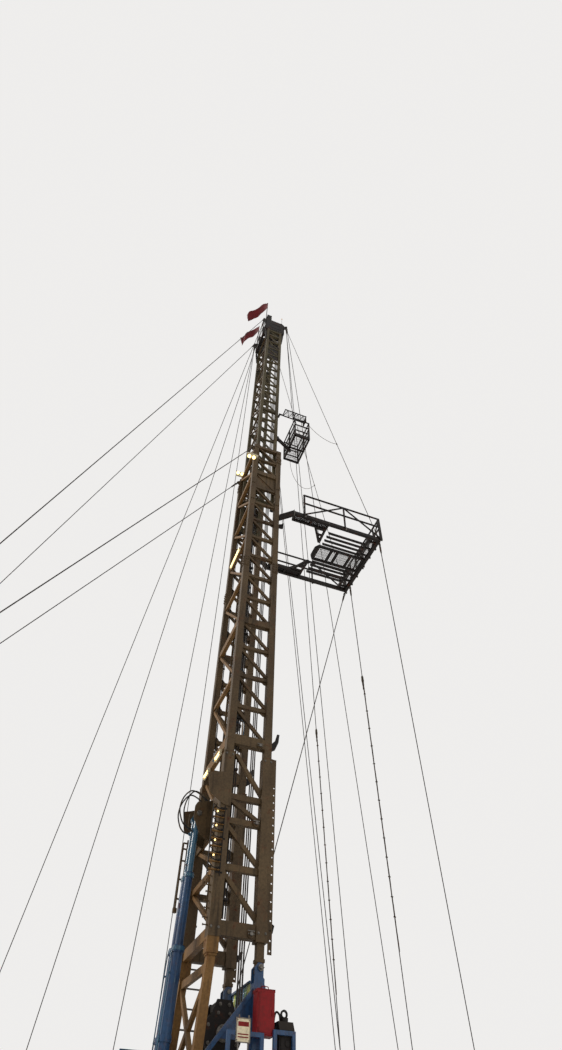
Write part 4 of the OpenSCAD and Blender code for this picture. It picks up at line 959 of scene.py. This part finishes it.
body, glass = Build(), Build()
body.box((-0.72, NEAR_BAR_Y - 0.012, NEAR_BAR_Z), (-0.35, NEAR_BAR_Y + 0.012, NEAR_BAR_Z + 0.05))
body.box((-0.47, NEAR_BAR_Y, NEAR_BAR_Z - 0.02), (-0.36, -0.8555, NEAR_BAR_Z + 0.07), 0.004)
body.bolts(spots((-0.44, -0.385), NEAR_BAR_Y, NEAR_BAR_Z + 0.06), -Y, 0.008)
body.box((-0.67, FAR_BAR_Y - 0.02, LOW_TOP), (-0.39, FAR_BAR_Y + 0.02, FAR_BAR_Z))
for dx in (0, LAMP_PITCH):
    floodlight(body, glass, Vector((-0.64 + dx, NEAR_BAR_Y, NEAR_BAR_Z - 0.1135)), (-0.25, -0.3, -0.92), Z)
    floodlight(body, glass, Vector((-0.59 + dx, FAR_BAR_Y - 0.02, FAR_BAR_Z + 0.113)), (-0.35, -0.62, -0.7), -Z)
body.hose([(-0.64, -0.935, 17.7), (-0.6, -0.95, 17.76), (-0.52, -0.94, 17.74), (-0.45, -0.9, 17.8),
           (-0.4, -0.862, 17.9)], 0.006, 8, 5)
body.done("floodlight_bodies", cream_paint, "cream_paint", stands_for=("floodlights",))
glass.done("floodlight_lenses", lamp_light, "lamp_glass", stands_for=("floodlights",))


# Tube lamps: tray, end caps, clips and a ribbed tube
trays, tubes = Build(), Build()
for x, y0, y1, z0, z1 in (
        (-0.51, -0.49, -0.14, 7.6, 7.71), (-0.51, 0.31, 0.66, 7.6, 7.71), (-0.5, -0.28, 0.56, 13.82, 13.91)):
    middle, length = (z0 + z1) / 2, y1 - y0 - 0.056
    trays.box((x + 0.03, y0, z0 + 0.012), (x + 0.06, y1, z1 - 0.004), 0.006)
    for end, s in ((y0, 1), (y1, -1)):
        trays.box((x + 0.004, end - s * 0.004, z0), (x + 0.06, end + s * 0.03, z1), 0.006)
    ribs = [(0.02 + (length - 0.04) * k / 30, 0.0245 + 0.0008 * (k % 2)) for k in range(31)]
    tubes.turned((x + 0.022, y0 + 0.028, middle), Y,
                 [(0, 0.02), (0.01, 0.024)] + ribs + [(length - 0.004, 0.024), (length, 0.02)], 20)
    for k in range(4):
        trays.hoop((x + 0.022, y0 + 0.05 + (y1 - y0 - 0.1) * k / 3, middle), X, Z, 0.028, 0.028, 0.0022, 6, 18)
    trays.bolts(spots(x + 0.058, (y0 + 0.014, y1 - 0.014), z1 - 0.02), X, 0.004)
    trays.hose([(x + dx, y1 + dy, middle + dz) for dx, dy, dz in (
        (0.04, 0, 0), (0.05, 0.04, 0), (0.08, 0.06, 0.03), (0.1, 0.06, 0.09))], 0.005, 8, 5)
trays.done("tube_lamp_trays", cream_paint, "cream_paint", stands_for=("tube_lamps",))
tubes.done("tube_lamp_glass", tube_light, "lamp_glass", stands_for=("tube_lamps",))

# Racking board: gratings, bolted joints, finger hinges, toe boards, a safety chain
FINGER_Y, FINGER_PITCH, LINK_DROP = 0.32, 0.1525, 0.0288
decks, board_bits = Build(), Build()
for side in BOTH:
    out = Y * side
    decks.grating((0.88, side * 0.982, BOARD_Z + 0.014), (1.9, side * 1.138, BOARD_Z + 0.048))
    decks.grating((0.86, side * 0.945, BOARD_Z + 0.051), (1.92, side * 0.965, BOARD_Z + 0.056), pitch=0.02)
    decks.grating((3.315, side * FINGER_Y, BOARD_Z + 0.03), (3.505, side * 1.13, BOARD_Z + 0.056), along_x=False)
    board_bits.bolts(spots((0.83, 1.38, 1.9, 2.45, 3.0, 3.42), side * 1.22, (BOARD_Z - 0.03, BOARD_Z + 0.03)),
                     out, 0.009)
    board_bits.bolts([(0.52, side * 0.792, BOARD_Z - 0.22), (0.6, side * 0.792, BOARD_Z - 0.17)], out, 0.01)
    board_bits.box((0.7955, side * 1.05, BOARD_Z - 0.12), (0.8095, side * 1.225, BOARD_Z + 0.12), 0.002)
    board_bits.bolts(spots(0.8095, side * 1.18, (BOARD_Z - 0.1, BOARD_Z + 0.1)), X, 0.01)
    for k in range(4):
        y = side * (FINGER_Y + (k + 0.5) * FINGER_PITCH)
        board_bits.turned((2.071, y, BOARD_Z + 0.03), Z, [(0, 0.024), (0.012, 0.024), (0.016, 0.018)], 16)
        board_bits.box((3.18, y - 0.032, BOARD_Z + 0.03), (3.24, y + 0.032, BOARD_Z + 0.04), 0.002)
        board_bits.bolts(spots(3.21, (y - 0.018, y + 0.018), BOARD_Z + 0.04), Z, 0.006)
    for x in (1.12, 2.42, 3.59):
        board_bits.box(
            (x - 0.02, side * 1.2195, BOARD_Z - 0.07), (x + 0.06, side * 1.2255, BOARD_Z + 0.055), 0.002)
        board_bits.bolts([(x - 0.01, side * 1.226, BOARD_Z - 0.04), (x + 0.05, side * 1.226, BOARD_Z + 0.02)],
                         out, 0.006)
    for z in (BOARD_Z + 0.56, BOARD_Z + 0.93):
        board_bits.turned((1.1, side * 1.24, z), -X, [(0, 0.021), (0.01, 0.021), (0.014, 0.015)], 12)
for x0, x1 in ((2.03, 2.4), (2.46, 2.6), (2.66, 3.03), (3.09, 3.45)):
    decks.grating((x0, -0.24, BOARD_Z + 0.004), (x1, 0.24, BOARD_Z + 0.036), along_x=False)
decks.done("board_gratings", black_paint, "dark_steel")
board_bits.done("board_fastenings", bare_steel, "grey_steel")
chain = Build()
chain.hoop((1.079, -1.24, 15.93), X, Z, 0.012, 0.012, 0.003, 6, 12)
for k in range(22):
    sway = 0.006 * math.sin(0.5 * k)
    chain.hoop((1.0755 - 0.2 * sway, -1.24 + sway, 15.9035 - LINK_DROP * k), X if k % 2 else Y, Z,
               0.009, 0.0175, 0.003, 6, 12)
chain.done("board_chain", forged_steel, "grey_steel")

# Rod basket: rails with caps, toe boards, mesh sides and a grating floor
LOW, HIGH, TALL = Vector((0.91, -0.98, BASKET_Z)), Vector((1.5, 0.15, BASKET_Z)), 1.13
MID_Y = (LOW.y + HIGH.y) / 2
basket = Build()


def basket_sides(inset, z, wide, tall, edge, short=0.0, trim=0.0, middle=False):
    """Bars along the four sides at that height; short and trim take off their ends."""
    for x in (LOW.x + inset, HIGH.x - inset):
        basket.bar((x, LOW.y + trim, z), (x, HIGH.y - trim, z), wide, tall, edge)
    for y in (LOW.y + inset, HIGH.y - inset) + ((MID_Y,) if middle else ()):
        basket.bar((LOW.x + short, y, z), (HIGH.x - short, y, z), wide, tall, edge)


for x, y in [(x, y) for x in (LOW.x + 0.02, HIGH.x - 0.02) for y in (LOW.y + 0.02, MID_Y, HIGH.y - 0.02)]:
    basket.bar((x, y, BASKET_Z - 0.02), (x, y, BASKET_Z + TALL - 0.02), 0.04, 0.04, 0.004)
for share in (0.33, 0.66, 1.0):
    basket_sides(0.02, BASKET_Z + TALL * share - 0.02, 0.04, 0.04, 0.005, short=0.04)
basket_sides(0.03, BASKET_Z - 0.02, 0.06, 0.04, 0.004, middle=True)
basket_sides(0.006, BASKET_Z + 0.06, 0.006, 0.11, 0.002, short=0.01, trim=0.01)
for low, high in ((0.1226, 0.3329), (0.4181, 0.7058)):
    wires = [(x, LOW.y + (HIGH.y - LOW.y) * k / 23) for k in range(1, 23) for x in (LOW.x + 0.02, HIGH.x - 0.02)]
    wires += [(LOW.x + (HIGH.x - LOW.x) * k / 12, y) for k in range(1, 12) for y in (LOW.y + 0.02, HIGH.y - 0.02)]
    for x, y in wires:
        basket.bar((x, y, BASKET_Z + low), (x, y, BASKET_Z + high), 0.006, 0.006, 0)
for y0, y1 in ((LOW.y + 0.06, MID_Y - 0.03), (MID_Y + 0.03, HIGH.y - 0.06)):
    basket.grating((LOW.x + 0.06, y0, BASKET_Z - 0.034), (HIGH.x - 0.06, y1, BASKET_Z - 0.006), along_x=False)
basket.bolts(spots(LOW.x - 0.001, (-0.89, -0.83, -0.33, -0.27), BASKET_Z - 0.02), -X, 0.008)
basket.done("basket_cage", black_paint, "dark_steel", stands_for=("rod_basket",))

step = Build()
for y in (-1.035, -0.765):
    step.bar((0.5, y, STEP_Z + 0.02), (1.36, y, STEP_Z + 0.02), 0.03, 0.04)
for x in (0.515, 0.93, 1.345):
    step.bar((x, -1.04, STEP_Z + 0.02), (x, -0.76, STEP_Z + 0.02), 0.03, 0.04)
for k in range(8):
    x, half = 0.53 + 0.1 * k, -0.13 if k % 2 else 0.13
    step.bar((x, half - 0.9, STEP_Z + 0.01), (x + 0.1, -half - 0.9, STEP_Z + 0.01), 0.022, 0.01, 0.002)
step.grating((0.53, -1.02, STEP_Z + 0.02), (1.33, -0.78, STEP_Z + 0.038), pitch=0.06)
step.bar((0.39, -0.64, 19.64), (1.0, -0.335, 19.64), 0.06, 0.18, 0.004)
step.box((0.355, -0.695, 19.56), (0.415, -0.585, 19.73), 0.004)
for low, high in (
        ((0.3555, -0.8, STEP_Z), (0.5, -0.75, STEP_Z + 0.04)),
        ((0.3555, -0.8, STEP_Z - 0.06), (0.405, -0.655, STEP_Z + 0.04)),
        ((1.32, -1.02, 20.9), (1.36, -0.94, STEP_Z)), ((1.32, -0.8, 20.9), (1.36, -0.76, STEP_Z)),
        ((1.32, -1.02, 20.902), (1.36, -0.76, 20.94))):
    step.box(low, high)
step.bolts(spots(0.4155, (-0.67, -0.61), (19.59, 19.7)), X, 0.009)
step.bolts(spots(0.38, -0.8005, (STEP_Z - 0.03, STEP_Z + 0.015)), -Y, 0.007)
step.bolts(spots((0.56, 0.94, 1.32), -1.0505, STEP_Z + 0.02), -Y, 0.007)
step.hoop((1.36, -0.9, STEP_Z + 0.01), X, Z, 0.016, 0.024, 0.005, 8, 16)
step.done("basket_bracket_open", black_paint, "dark_steel", stands_for=("basket_bracket",))


# Crown: bolts round the side plates, shaft bearings, rope guards, edge strips, mast-head lamp
BEARING = [(0, 0.125), (0.006, 0.13), (0.03, 0.13), (0.036, 0.115), (0.044, 0.075), (0.046, 0.05)]
crown = Build()
for side in BOTH:
    out, face, facing = side * (PLATE_Y + PLATE_T), side * 0.28, Y * side
    crown.bolts(spots([-0.45 + 0.11 * k for k in range(9)], out, CROWN_Z + 0.09), facing, 0.01)
    crown.bolts(spots((-0.46, 0.45), out, [CROWN_Z + 0.22 + 0.14 * k for k in range(6)]), facing, 0.01)
    for x0, x1, z0, z1 in ((-0.2, 0.32, 0.3, 0.36), (-0.2, 0.32, 0.72, 0.78),
                           (-0.2, -0.14, 0.36, 0.72), (0.26, 0.32, 0.36, 0.72)):
        crown.box((x0, out, CROWN_Z + z0), (x1, out + side * 0.008, CROWN_Z + z1), 0.002)
    crown.turned((HOIST_X, face, SHEAVE_Z), facing, BEARING, 32)
    crown.bolts(
        ring(Vector((HOIST_X, face + side * 0.032, SHEAVE_Z)), X, Z, 0.1, 6, math.pi / 6), facing, 0.008)
    crown.turned(
        (HOIST_X, face + side * 0.044, SHEAVE_Z), facing, [(0, 0.008), (0.015, 0.008), (0.02, 0.004)], 8)
    for eye in (NEAR_WELL, NEAR_BACK):
        for k, s in ((k, s) for k in range(3) for s in BOTH):
            crown.turned((eye.x, side * LUG_Y + s * 0.007, eye.z - HOLE_STEP.z * k), Y * s,
                         [(0, 0.03), (0.005, 0.03), (0.006, 0.026)], 18)
for at in around(Vector((HOIST_X, 0, SHEAVE_Z)), X, Z, 0.335, (0.9, math.pi / 2, math.pi - 0.9)):
    crown.rod(at - Y * 0.275, at + Y * 0.275, 0.011, 10)
    for y in BOTH:
        crown.box((at.x - 0.018, y * 0.258, CROWN_Z + 1.06), (at.x + 0.018, y * 0.272, at.z + 0.018))
for x, facing in ((-0.4905, -X), (0.4805, X)):
    crown.bolts(spots(x, (-0.5, -0.25, 0.25, 0.5), CROWN_Z + 0.86), facing, 0.01)
    crown.bolts(spots(x, (-0.5, 0, 0.5), CROWN_Z + 0.09), facing, 0.011)
crown.done("crown_fastenings", black_paint, "dark_steel")

HEAD_Z = CROWN_Z + 1.09
head = Build()
head.box((-0.404, -0.672, HEAD_Z + 0.05), (-0.4005, -0.48, HEAD_Z + 0.57), 0.002)
for k in range(7):
    head.bar(*spots(-0.407, (-0.655, -0.497), HEAD_Z + 0.32 + 0.03 * k), 0.012, 0.006, 0.001)
head.hoop((-0.412, -0.49, HEAD_Z + 0.2), X, Z, 0.012, 0.04, 0.004, 6, 16)
for z in (HEAD_Z + 0.1, HEAD_Z + 0.5):
    head.rod((-0.408, -0.676, z), (-0.408, -0.676, z + 0.06), 0.007, 8)
head.turned((-0.295, -0.576, HEAD_Z + 0.65), Z, [
    (0, 0.05), (0.012, 0.05), (0.016, 0.04), (0.03, 0.04), (0.032, 0.044), (0.045, 0.044), (0.048, 0.03)], 24)
head.box((0.31, -0.694, CROWN_Z + 1.13), (0.37, -0.682, CROWN_Z + 1.2), 0.002)
head.done("beacon_housing", black_paint, "dark_steel")
domes = Build()
domes.turned((-0.295, -0.576, HEAD_Z + 0.694), Z,
             [(0, 0.04), (0.05, 0.04), (0.075, 0.034), (0.09, 0.02), (0.095, 0.006)], 24)
domes.turned((0.34, -LUG_Y, CROWN_Z + 1.8), Z,
             [(0, 0.012), (0.004, 0.024), (0.04, 0.024), (0.055, 0.016), (0.06, 0.005)], 18)
domes.done("beacon_domes", red_lens, "lamp_glass")

# Travelling block: pin nuts, tie bolts, rope guards, swivel bearing, latch; it moves with the hoist
block = Build()
for side in BOTH:
    facing, cheek = Y * side, Vector((HOIST_X, side * 0.222, BLOCK_Z))
    block.turned(cheek, facing, [(0, 0.1), (0.006, 0.105), (0.018, 0.105), (0.022, 0.095)], 32)
    block.bolts(ring(cheek + facing * 0.02, X, Z, 0.082, 6), facing, 0.007)
    block.bolts(around(cheek, X, Z, 0.25, (0.35, 1.2, math.pi - 1.2, math.pi - 0.35, math.pi + 0.5, -0.5)),
                facing, 0.013)
    block.bolts([cheek + X * dx + Z * dz for dx in (-0.07, 0.07) for dz in (0.34, -0.47)], facing, 0.014)
    block.box(cheek - X * 0.06 - Z * 0.32, cheek + X * 0.06 - Z * 0.24 + facing * 0.006, 0.002)
    block.bolts([cheek + X * dx - Z * 0.28 + facing * 0.006 for dx in (-0.05, 0.05)], facing, 0.004)
for at in around(Vector((HOIST_X, 0, BLOCK_Z)), X, Z, 0.315, (1.25, math.pi - 1.25)):
    block.rod(at - Y * 0.19, at + Y * 0.19, 0.01, 10)
swivel = Vector((HOIST_X, 0, HOOK_Z))
block.turned(swivel + Z * 0.428, -Z, [(0, 0.095), (0.02, 0.1), (0.05, 0.1), (0.06, 0.088), (0.118, 0.088)], 32)
for at in ring(swivel, X, Y, 0.089, 16):
    block.rod(at + Z * 0.37, at + Z * 0.318, 0.006, 6)
block.turned(swivel + Z * 0.31, -Z, [(0, 0.052), (0.012, 0.052), (0.014, 0.048)], 24)
block.plate([swivel + Vector((dx, -0.012, dz)) for dx, dz in (
    (-0.105, 0.215), (-0.085, 0.205), (-0.04, 0.245), (-0.052, 0.262))], Y * 0.024)
block.done("block_fastenings", bare_steel, "grey_steel", body=BLOCK)

# Rams: gland nuts, wiper rings, ports and clamps along the leaning line
FOOT, HEAD = Vector((-0.85, 0, 0.42)), Vector((-0.69, 0, 6.53))
RAM_Y = 0.11
lean = (HEAD - FOOT).normalized()
side, top = across(lean)
rams = Build()
for s in BOTH:
    foot = FOOT + Y * s * RAM_Y
    for d, r in ((4.06, 0.099), (5.13, 0.0795)):
        rams.turned(foot + lean * (d - 0.075), lean,
                    [(0, r), (0.004, r + 0.006), (0.055, r + 0.006), (0.059, r)], 40)
        for out in ring(Vector(), side, top, 1, 12):
            start = foot + lean * (d - 0.066) + out * (r + 0.005)
            rams.bar(start, start + lean * 0.04, 0.012, 0.008, 0.001, out)
    for d in (0.75, 1.9):
        rams.turned(foot + lean * d, lean, [(0, 0.0855), (0.003, 0.091), (0.037, 0.091), (0.04, 0.0855)], 36)
    rams.turned(foot + lean * 0.3 - X * 0.085, -X, [(0, 0.03), (0.02, 0.03), (0.024, 0.02), (0.05, 0.02)], 16)
    rams.turned((-0.748, s * RAM_Y, 6.27), X,
                [(-0.035, 0.017), (-0.03, 0.021), (-0.012, 0.021), (-0.008, 0.026), (0.012, 0.026)], 6)
    rams.turned((-0.4495, s * 0.08, 7.75), -X,
                [(0, 0.03), (0.008, 0.03), (0.01, 0.021), (0.034, 0.021), (0.038, 0.016)], 6)
    rams.bolts(around(foot + Y * s * 0.045, X, Z, 0.055, (0.5, 2.6, 4.7)), Y * s, 0.007)
    rams.hose([FOOT + lean * d + Vector((dx, s * dy, 0)) for d, dx, dy in (
        (0.3, -0.128, 0.11), (0.31, -0.155, 0.11), (0.38, -0.165, 0.115), (0.6, -0.118, 0.13), (0.8, -0.105, 0.14),
        (2.0, -0.105, 0.14), (3.6, -0.105, 0.14), (3.9, -0.104, 0.13), (3.995, -0.102, 0.12))], 0.009, 8)
    for d in (0.77, 1.92, 2.9, 3.7):
        saddle = FOOT + lean * d + Vector((-0.08, s * 0.133, 0))
        rams.bar(saddle, saddle + Vector((-0.036, s * 0.01, 0)), 0.03, 0.024, 0.003, lean)
for d in (1.2, 3.6):
    at = FOOT + lean * d
    rams.bar(at - Y * 0.2, at + Y * 0.2, 0.012, 0.06, 0.002, lean)
rams.done("ram_fittings", ram_paint, "ram_paint")

# Base: bolted feet, floor plate ribs, kick plates and the plates under the handrails' posts
RAIL_Y, KICK_Z, TREAD_X, TREAD_Y = 1.2, FLOOR_Z + 0.055, 0.105, 0.115
RIB = ((1.21, 0.024), (1.39, 0.024), (1.39, 0.06), (1.34, 0.276), (1.21, 0.276))


def foot_plate(made, x, y, z, half, thick, inset, edge, size):
    """A plate with a bolt near each of its corners."""
    made.box((x - half, y - half, z), (x + half, y + half, z + thick), edge)
    made.bolts(spots((x - inset, x + inset), (y - inset, y + inset), z + thick), Z, size)


base = Build()
for side in BOTH:
    for x in (LEG_X, -0.64):
        foot_plate(base, x, side * LEG_Y, 0.3002, 0.12, 0.0218, 0.102, 0.004, 0.014)
    base.bolts(spots((LEG_X - 0.075, LEG_X + 0.075), (side * (LEG_Y - 0.072), side * (LEG_Y + 0.072)), 3.7105),
               Z, 0.012)
    base.bolts(spots((-1.18, -1.12, 1.42, 1.48), side * 1.2405, (0.34, 2.2)), Y * side, 0.009)
    for k in range(10):
        base.plate([(-1.205 + 0.3 * k, side * y, z) for y, z in RIB], X * 0.01)
    base.bar((-1.18, side * 1.27, KICK_Z), (1.48, side * 1.27, KICK_Z), 0.006, 0.11, 0.002)
    for x, out in ((-1.3, -X), (1.5, X)):
        base.turned((x, side * 1.3, 0.15), out, [(-0.02, 0.05), (0.0, 0.06), (0.0005, 0.03)], 24)
    for x in (-0.155, 0.325, 0.515, 0.795):
        foot_plate(base, x, side * RAIL_Y, FLOOR_Z, 0.045, 0.01, 0.036, 0.002, 0.005)
for x in (-1.197, 1.497):
    base.bar((x, -1.26, KICK_Z), (x, 1.26, KICK_Z), 0.006, 0.11, 0.002)
base.done("base_fastenings", base_paint, "blue_paint")

tread = Build()
for row, column in ((row, column) for row in range(26) for column in range(22)):
    x, y = -1.15 + TREAD_X * row, -1.22 + TREAD_Y * column
    in_well = abs(y) < 0.7 and -1.02 < x < 0.92
    at_leg = abs(abs(y) - LEG_Y) < 0.14 and (-0.95 < x < -0.33 or 0.24 < x < 0.54)
    if not (in_well or at_leg):
        turn = 0.785 + (0.6 if (row + column) % 2 else -0.6)
        spot, reach = Vector((x, y, FLOOR_Z + 0.0015)), Vector((math.cos(turn), math.sin(turn), 0)) * 0.022
        tread.bar(spot - reach, spot + reach, 0.008, 0.005, 0.002)
tread.done("floor_tread_plate", base_paint, "blue_paint")

# Tool box door with hinges, latch, lid strip and handle
DOOR_Y = -1.165
tool = Build()
tool.box((0.268, DOOR_Y - 0.006, 3.325), (0.507, DOOR_Y, 3.79), 0.004)
tool.box((0.285, DOOR_Y - 0.01, 3.345), (0.49, DOOR_Y - 0.005, 3.77))
for z in (3.42, 3.7):
    tool.rod((0.262, DOOR_Y - 0.01, z - 0.03), (0.262, DOOR_Y - 0.01, z + 0.03), 0.007, 10)
    tool.box((0.262, DOOR_Y - 0.012, z - 0.022), (0.3, DOOR_Y - 0.009, z + 0.022), 0.001)
tool.box((0.47, DOOR_Y - 0.018, 3.53), (0.5, DOOR_Y - 0.008, 3.6))
tool.hoop((0.485, DOOR_Y - 0.022, 3.545), X, Z, 0.009, 0.014, 0.003, 6, 14)
tool.bolts(spots((0.275, 0.5), DOOR_Y - 0.006, (3.335, 3.78)), -Y, 0.0035)
tool.bar((0.247, DOOR_Y + 0.003, 3.8305), (0.528, DOOR_Y + 0.003, 3.8305), 0.01, 0.006, 0.002)
tool.hose([(x, -1.1, z) for x, z in (
    (0.34, 3.83), (0.34, 3.862), (0.36, 3.872), (0.42, 3.872), (0.44, 3.862), (0.44, 3.83))], 0.006, 8, 4)
tool.done("tool_box_door", red_paint, "red_paint")

# Sign: rim, straps behind it and bare bars on its face
RIM_Y = -1.2395
sign = Build()
for z in (3.2075, 3.4625):
    sign.bar((-0.062, RIM_Y, z), (0.147, RIM_Y, z), 0.006, 0.012, 0.001)
for x in (-0.056, 0.141):
    sign.bar((x, RIM_Y, 3.2135), (x, RIM_Y, 3.4565), 0.012, 0.006, 0.001, Y)
sign.bolts(spots((-0.042, 0.127), -1.2375, (3.228, 3.442)), -Y, 0.0035)
for x in (-0.03, 0.11):
    sign.box((x, -1.226, 3.1), (x + 0.02, -1.2255, 3.5), 0.0001)
sign.done("sign_rim", bare_steel, "grey_steel")
mark = Build()
for z0, z1, edge in ((3.375, 3.425, 0.0008), (3.255, 3.268, 0.0006), (3.285, 3.298, 0.0006)):
    mark.box((-0.035, -1.2385, z0), (0.12, -1.2365, z1), edge)
mark.done("sign_bars", red_paint, "red_paint")

# Dark unit on the floor: louvres, gauge panel, feet and a hose
PANEL_Y = -1.168
tong = Build()
for k in range(10):
    tong.bar(*spots((0.63, 0.8), -1.166, 2.52 + 0.06 * k), 0.012, 0.03)
tong.box((0.62, PANEL_Y, 3.16), (0.81, -1.1595, 3.34))
tong.bolts(spots((0.64, 0.79), PANEL_Y, (3.18, 3.32)), -Y, 0.005)
for x, out in ((0.595, -X), (0.835, X)):
    tong.box((x - 0.005, -1.155, 2.4), (x + 0.005, -0.905, 2.46), 0.002)
    tong.bolts([out * 0.005 + spot for spot in spots(x, (-1.1, -0.96), 2.43)], out, 0.007)
tong.turned((0.715, PANEL_Y, 3.25), -Y, [(0, 0.035), (0.012, 0.035), (0.014, 0.028), (0.013, 0.01)], 24)
tong.hose([(0.66, -1.03, 3.5), (0.64, -1.04, 3.58), (0.58, -1.06, 3.6), (0.55, -1.06, 3.5), (0.56, -1.05, 3.3),
           (0.6, -1.04, 3.22)], 0.014)
tong.done("tong_unit_panels", black_paint, "dark_steel")

# Wind strip: a ribbed translucent sheet between two rails
STRIP_Y, STRIP_LONG, RIBS = 0.15, 1.13, 150
strip_sheet = Build()
across_strip = [STRIP_Y + STRIP_LONG * k / RIBS for k in range(RIBS + 1)]
for y0, y1 in zip(across_strip, across_strip[1:]):
    x0, x1 = (0.594 + 0.005 * math.sin(120 * y) for y in (y0, y1))
    n = len(strip_sheet.points)
    strip_sheet.points += [(x0, y0, 3.978), (x1, y1, 3.978), (x1, y1, 4.182), (x0, y0, 4.182)]
    strip_sheet.faces.append((n, n + 1, n + 2, n + 3))
strip = strip_sheet.done("wind_strip_sheet", strip_plastic, "clear_sheet", stands_for=("wind_strip",))
weld_up = bmesh.new()
weld_up.from_mesh(strip.data)
bmesh.ops.remove_doubles(weld_up, verts=weld_up.verts, dist=0.0001)
weld_up.to_mesh(strip.data)
weld_up.free()
thick = strip.modifiers.new("thickness", "SOLIDIFY")
thick.thickness = 0.002
rails = Build()
for z in (3.95, 4.18):
    rails.box((0.56, STRIP_Y, z), (0.6, STRIP_Y + STRIP_LONG, z + 0.03))
for y in (0.7, 1.1):
    rails.box((0.56, y, FLOOR_Z), (0.588, y + 0.05, 4.21))
    rails.box((0.54, y - 0.03, FLOOR_Z), (0.608, y + 0.08, FLOOR_Z + 0.01), 0.002)
    rails.bolts(spots(0.575, (y - 0.018, y + 0.068), FLOOR_Z + 0.01), Z, 0.006)
    rails.bolts(spots(0.6005, y + 0.025, (3.965, 4.195)), X, 0.006)
rails.done("wind_strip_rails", base_paint, "blue_paint", stands_for=("wind_strip",))

# Extension cylinder: clamps, gland bolts and its port with a hose
STEM = Vector((-0.21, -0.52, 0))
extension = Build()
for z in (8.3, 9.6, 10.9, 12.2):
    extension.turned(STEM + Z * z, Z, [(0, 0.0555), (0.003, 0.062), (0.037, 0.062), (0.04, 0.0555)], 32)
extension.bolts(ring(STEM + Z * 12.8, X, Y, 0.06, 8), Z, 0.005)
extension.turned(
    STEM + Vector((0.05, 0, 8.42)), X, [(0, 0.018), (0.03, 0.018), (0.034, 0.012), (0.06, 0.012)], 12)
extension.hose([STEM + Vector(d) for d in (
    (0.108, 0, 8.42), (0.15, 0, 8.4), (0.16, -0.02, 8.2), (0.12, -0.08, 7.9), (0.05, -0.17, 7.75))], 0.011, 8)
extension.done("extension_fittings", ram_paint, "ram_paint")


# Studio: pale floor, soft sky light, one broad lamp and a weak one from behind
def soft_lamp(name, energy, spread, shines, colour=(1, 1, 1)):
    lamp = bpy.data.objects.new(name, bpy.data.lights.new(name, "SUN"))
    lamp.data.energy = energy
    lamp.data.angle = math.radians(spread)
    lamp.data.color = colour
    lamp.rotation_euler = Vector(shines).to_track_quat("-Z", "Y").to_euler()
    bpy.context.scene.collection.objects.link(lamp)


def set_studio():
    world = bpy.data.worlds.new("studio")
    bpy.context.scene.world = world
    world.use_nodes = True
    tree = world.node_tree
    tree.nodes.clear()
    paths = tree.nodes.new("ShaderNodeLightPath")
    seen = tree.nodes.new("ShaderNodeMath")
    seen.operation = "MAXIMUM"
    tree.links.new(paths.outputs["Is Camera Ray"], seen.inputs[0])
    tree.links.new(paths.outputs["Is Transmission Ray"], seen.inputs[1])
    pick = tree.nodes.new("ShaderNodeMixShader")
    tree.links.new(seen.outputs[0], pick.inputs[0])
    for place, colour, strength in ((1, (1.0, 0.97, 0.94, 1), 0.55), (2, (0.86, 0.85, 0.84, 1), 1.0)):
        sky = tree.nodes.new("ShaderNodeBackground")
        sky.inputs["Color"].default_value = colour
        sky.inputs["Strength"].default_value = strength
        tree.links.new(sky.outputs[0], pick.inputs[place])
    out = tree.nodes.new("ShaderNodeOutputWorld")
    tree.links.new(pick.outputs[0], out.inputs[0])
    soft_lamp("soft_sun", 1.75, 24, (0.8, -0.42, -0.52), (1.0, 0.95, 0.88))
    soft_lamp("soft_fill", 0.55, 60, (-0.35, 0.75, -0.45))
    bpy.context.scene.view_settings.view_transform = "Standard"


def lay_floor(radius=160.0, sides=48):
    mesh = bpy.data.meshes.new("floor")
    mesh.from_pydata(ring(Vector(), X, Y, radius, sides), [], [tuple(range(sides))])
    floor = bpy.data.objects.new("floor", mesh)
    bpy.context.scene.collection.objects.link(floor)
    pale = Finish("pale_floor")
    shade = pale.blend(pale.cloud(0.8) * 0.2, (0.78, 0.77, 0.75, 1), (0.72, 0.71, 0.69, 1))
    pale.use({"Base Color": shade, "Roughness": 0.85})
    mesh.materials.append(pale.material)


set_studio()
lay_floor()
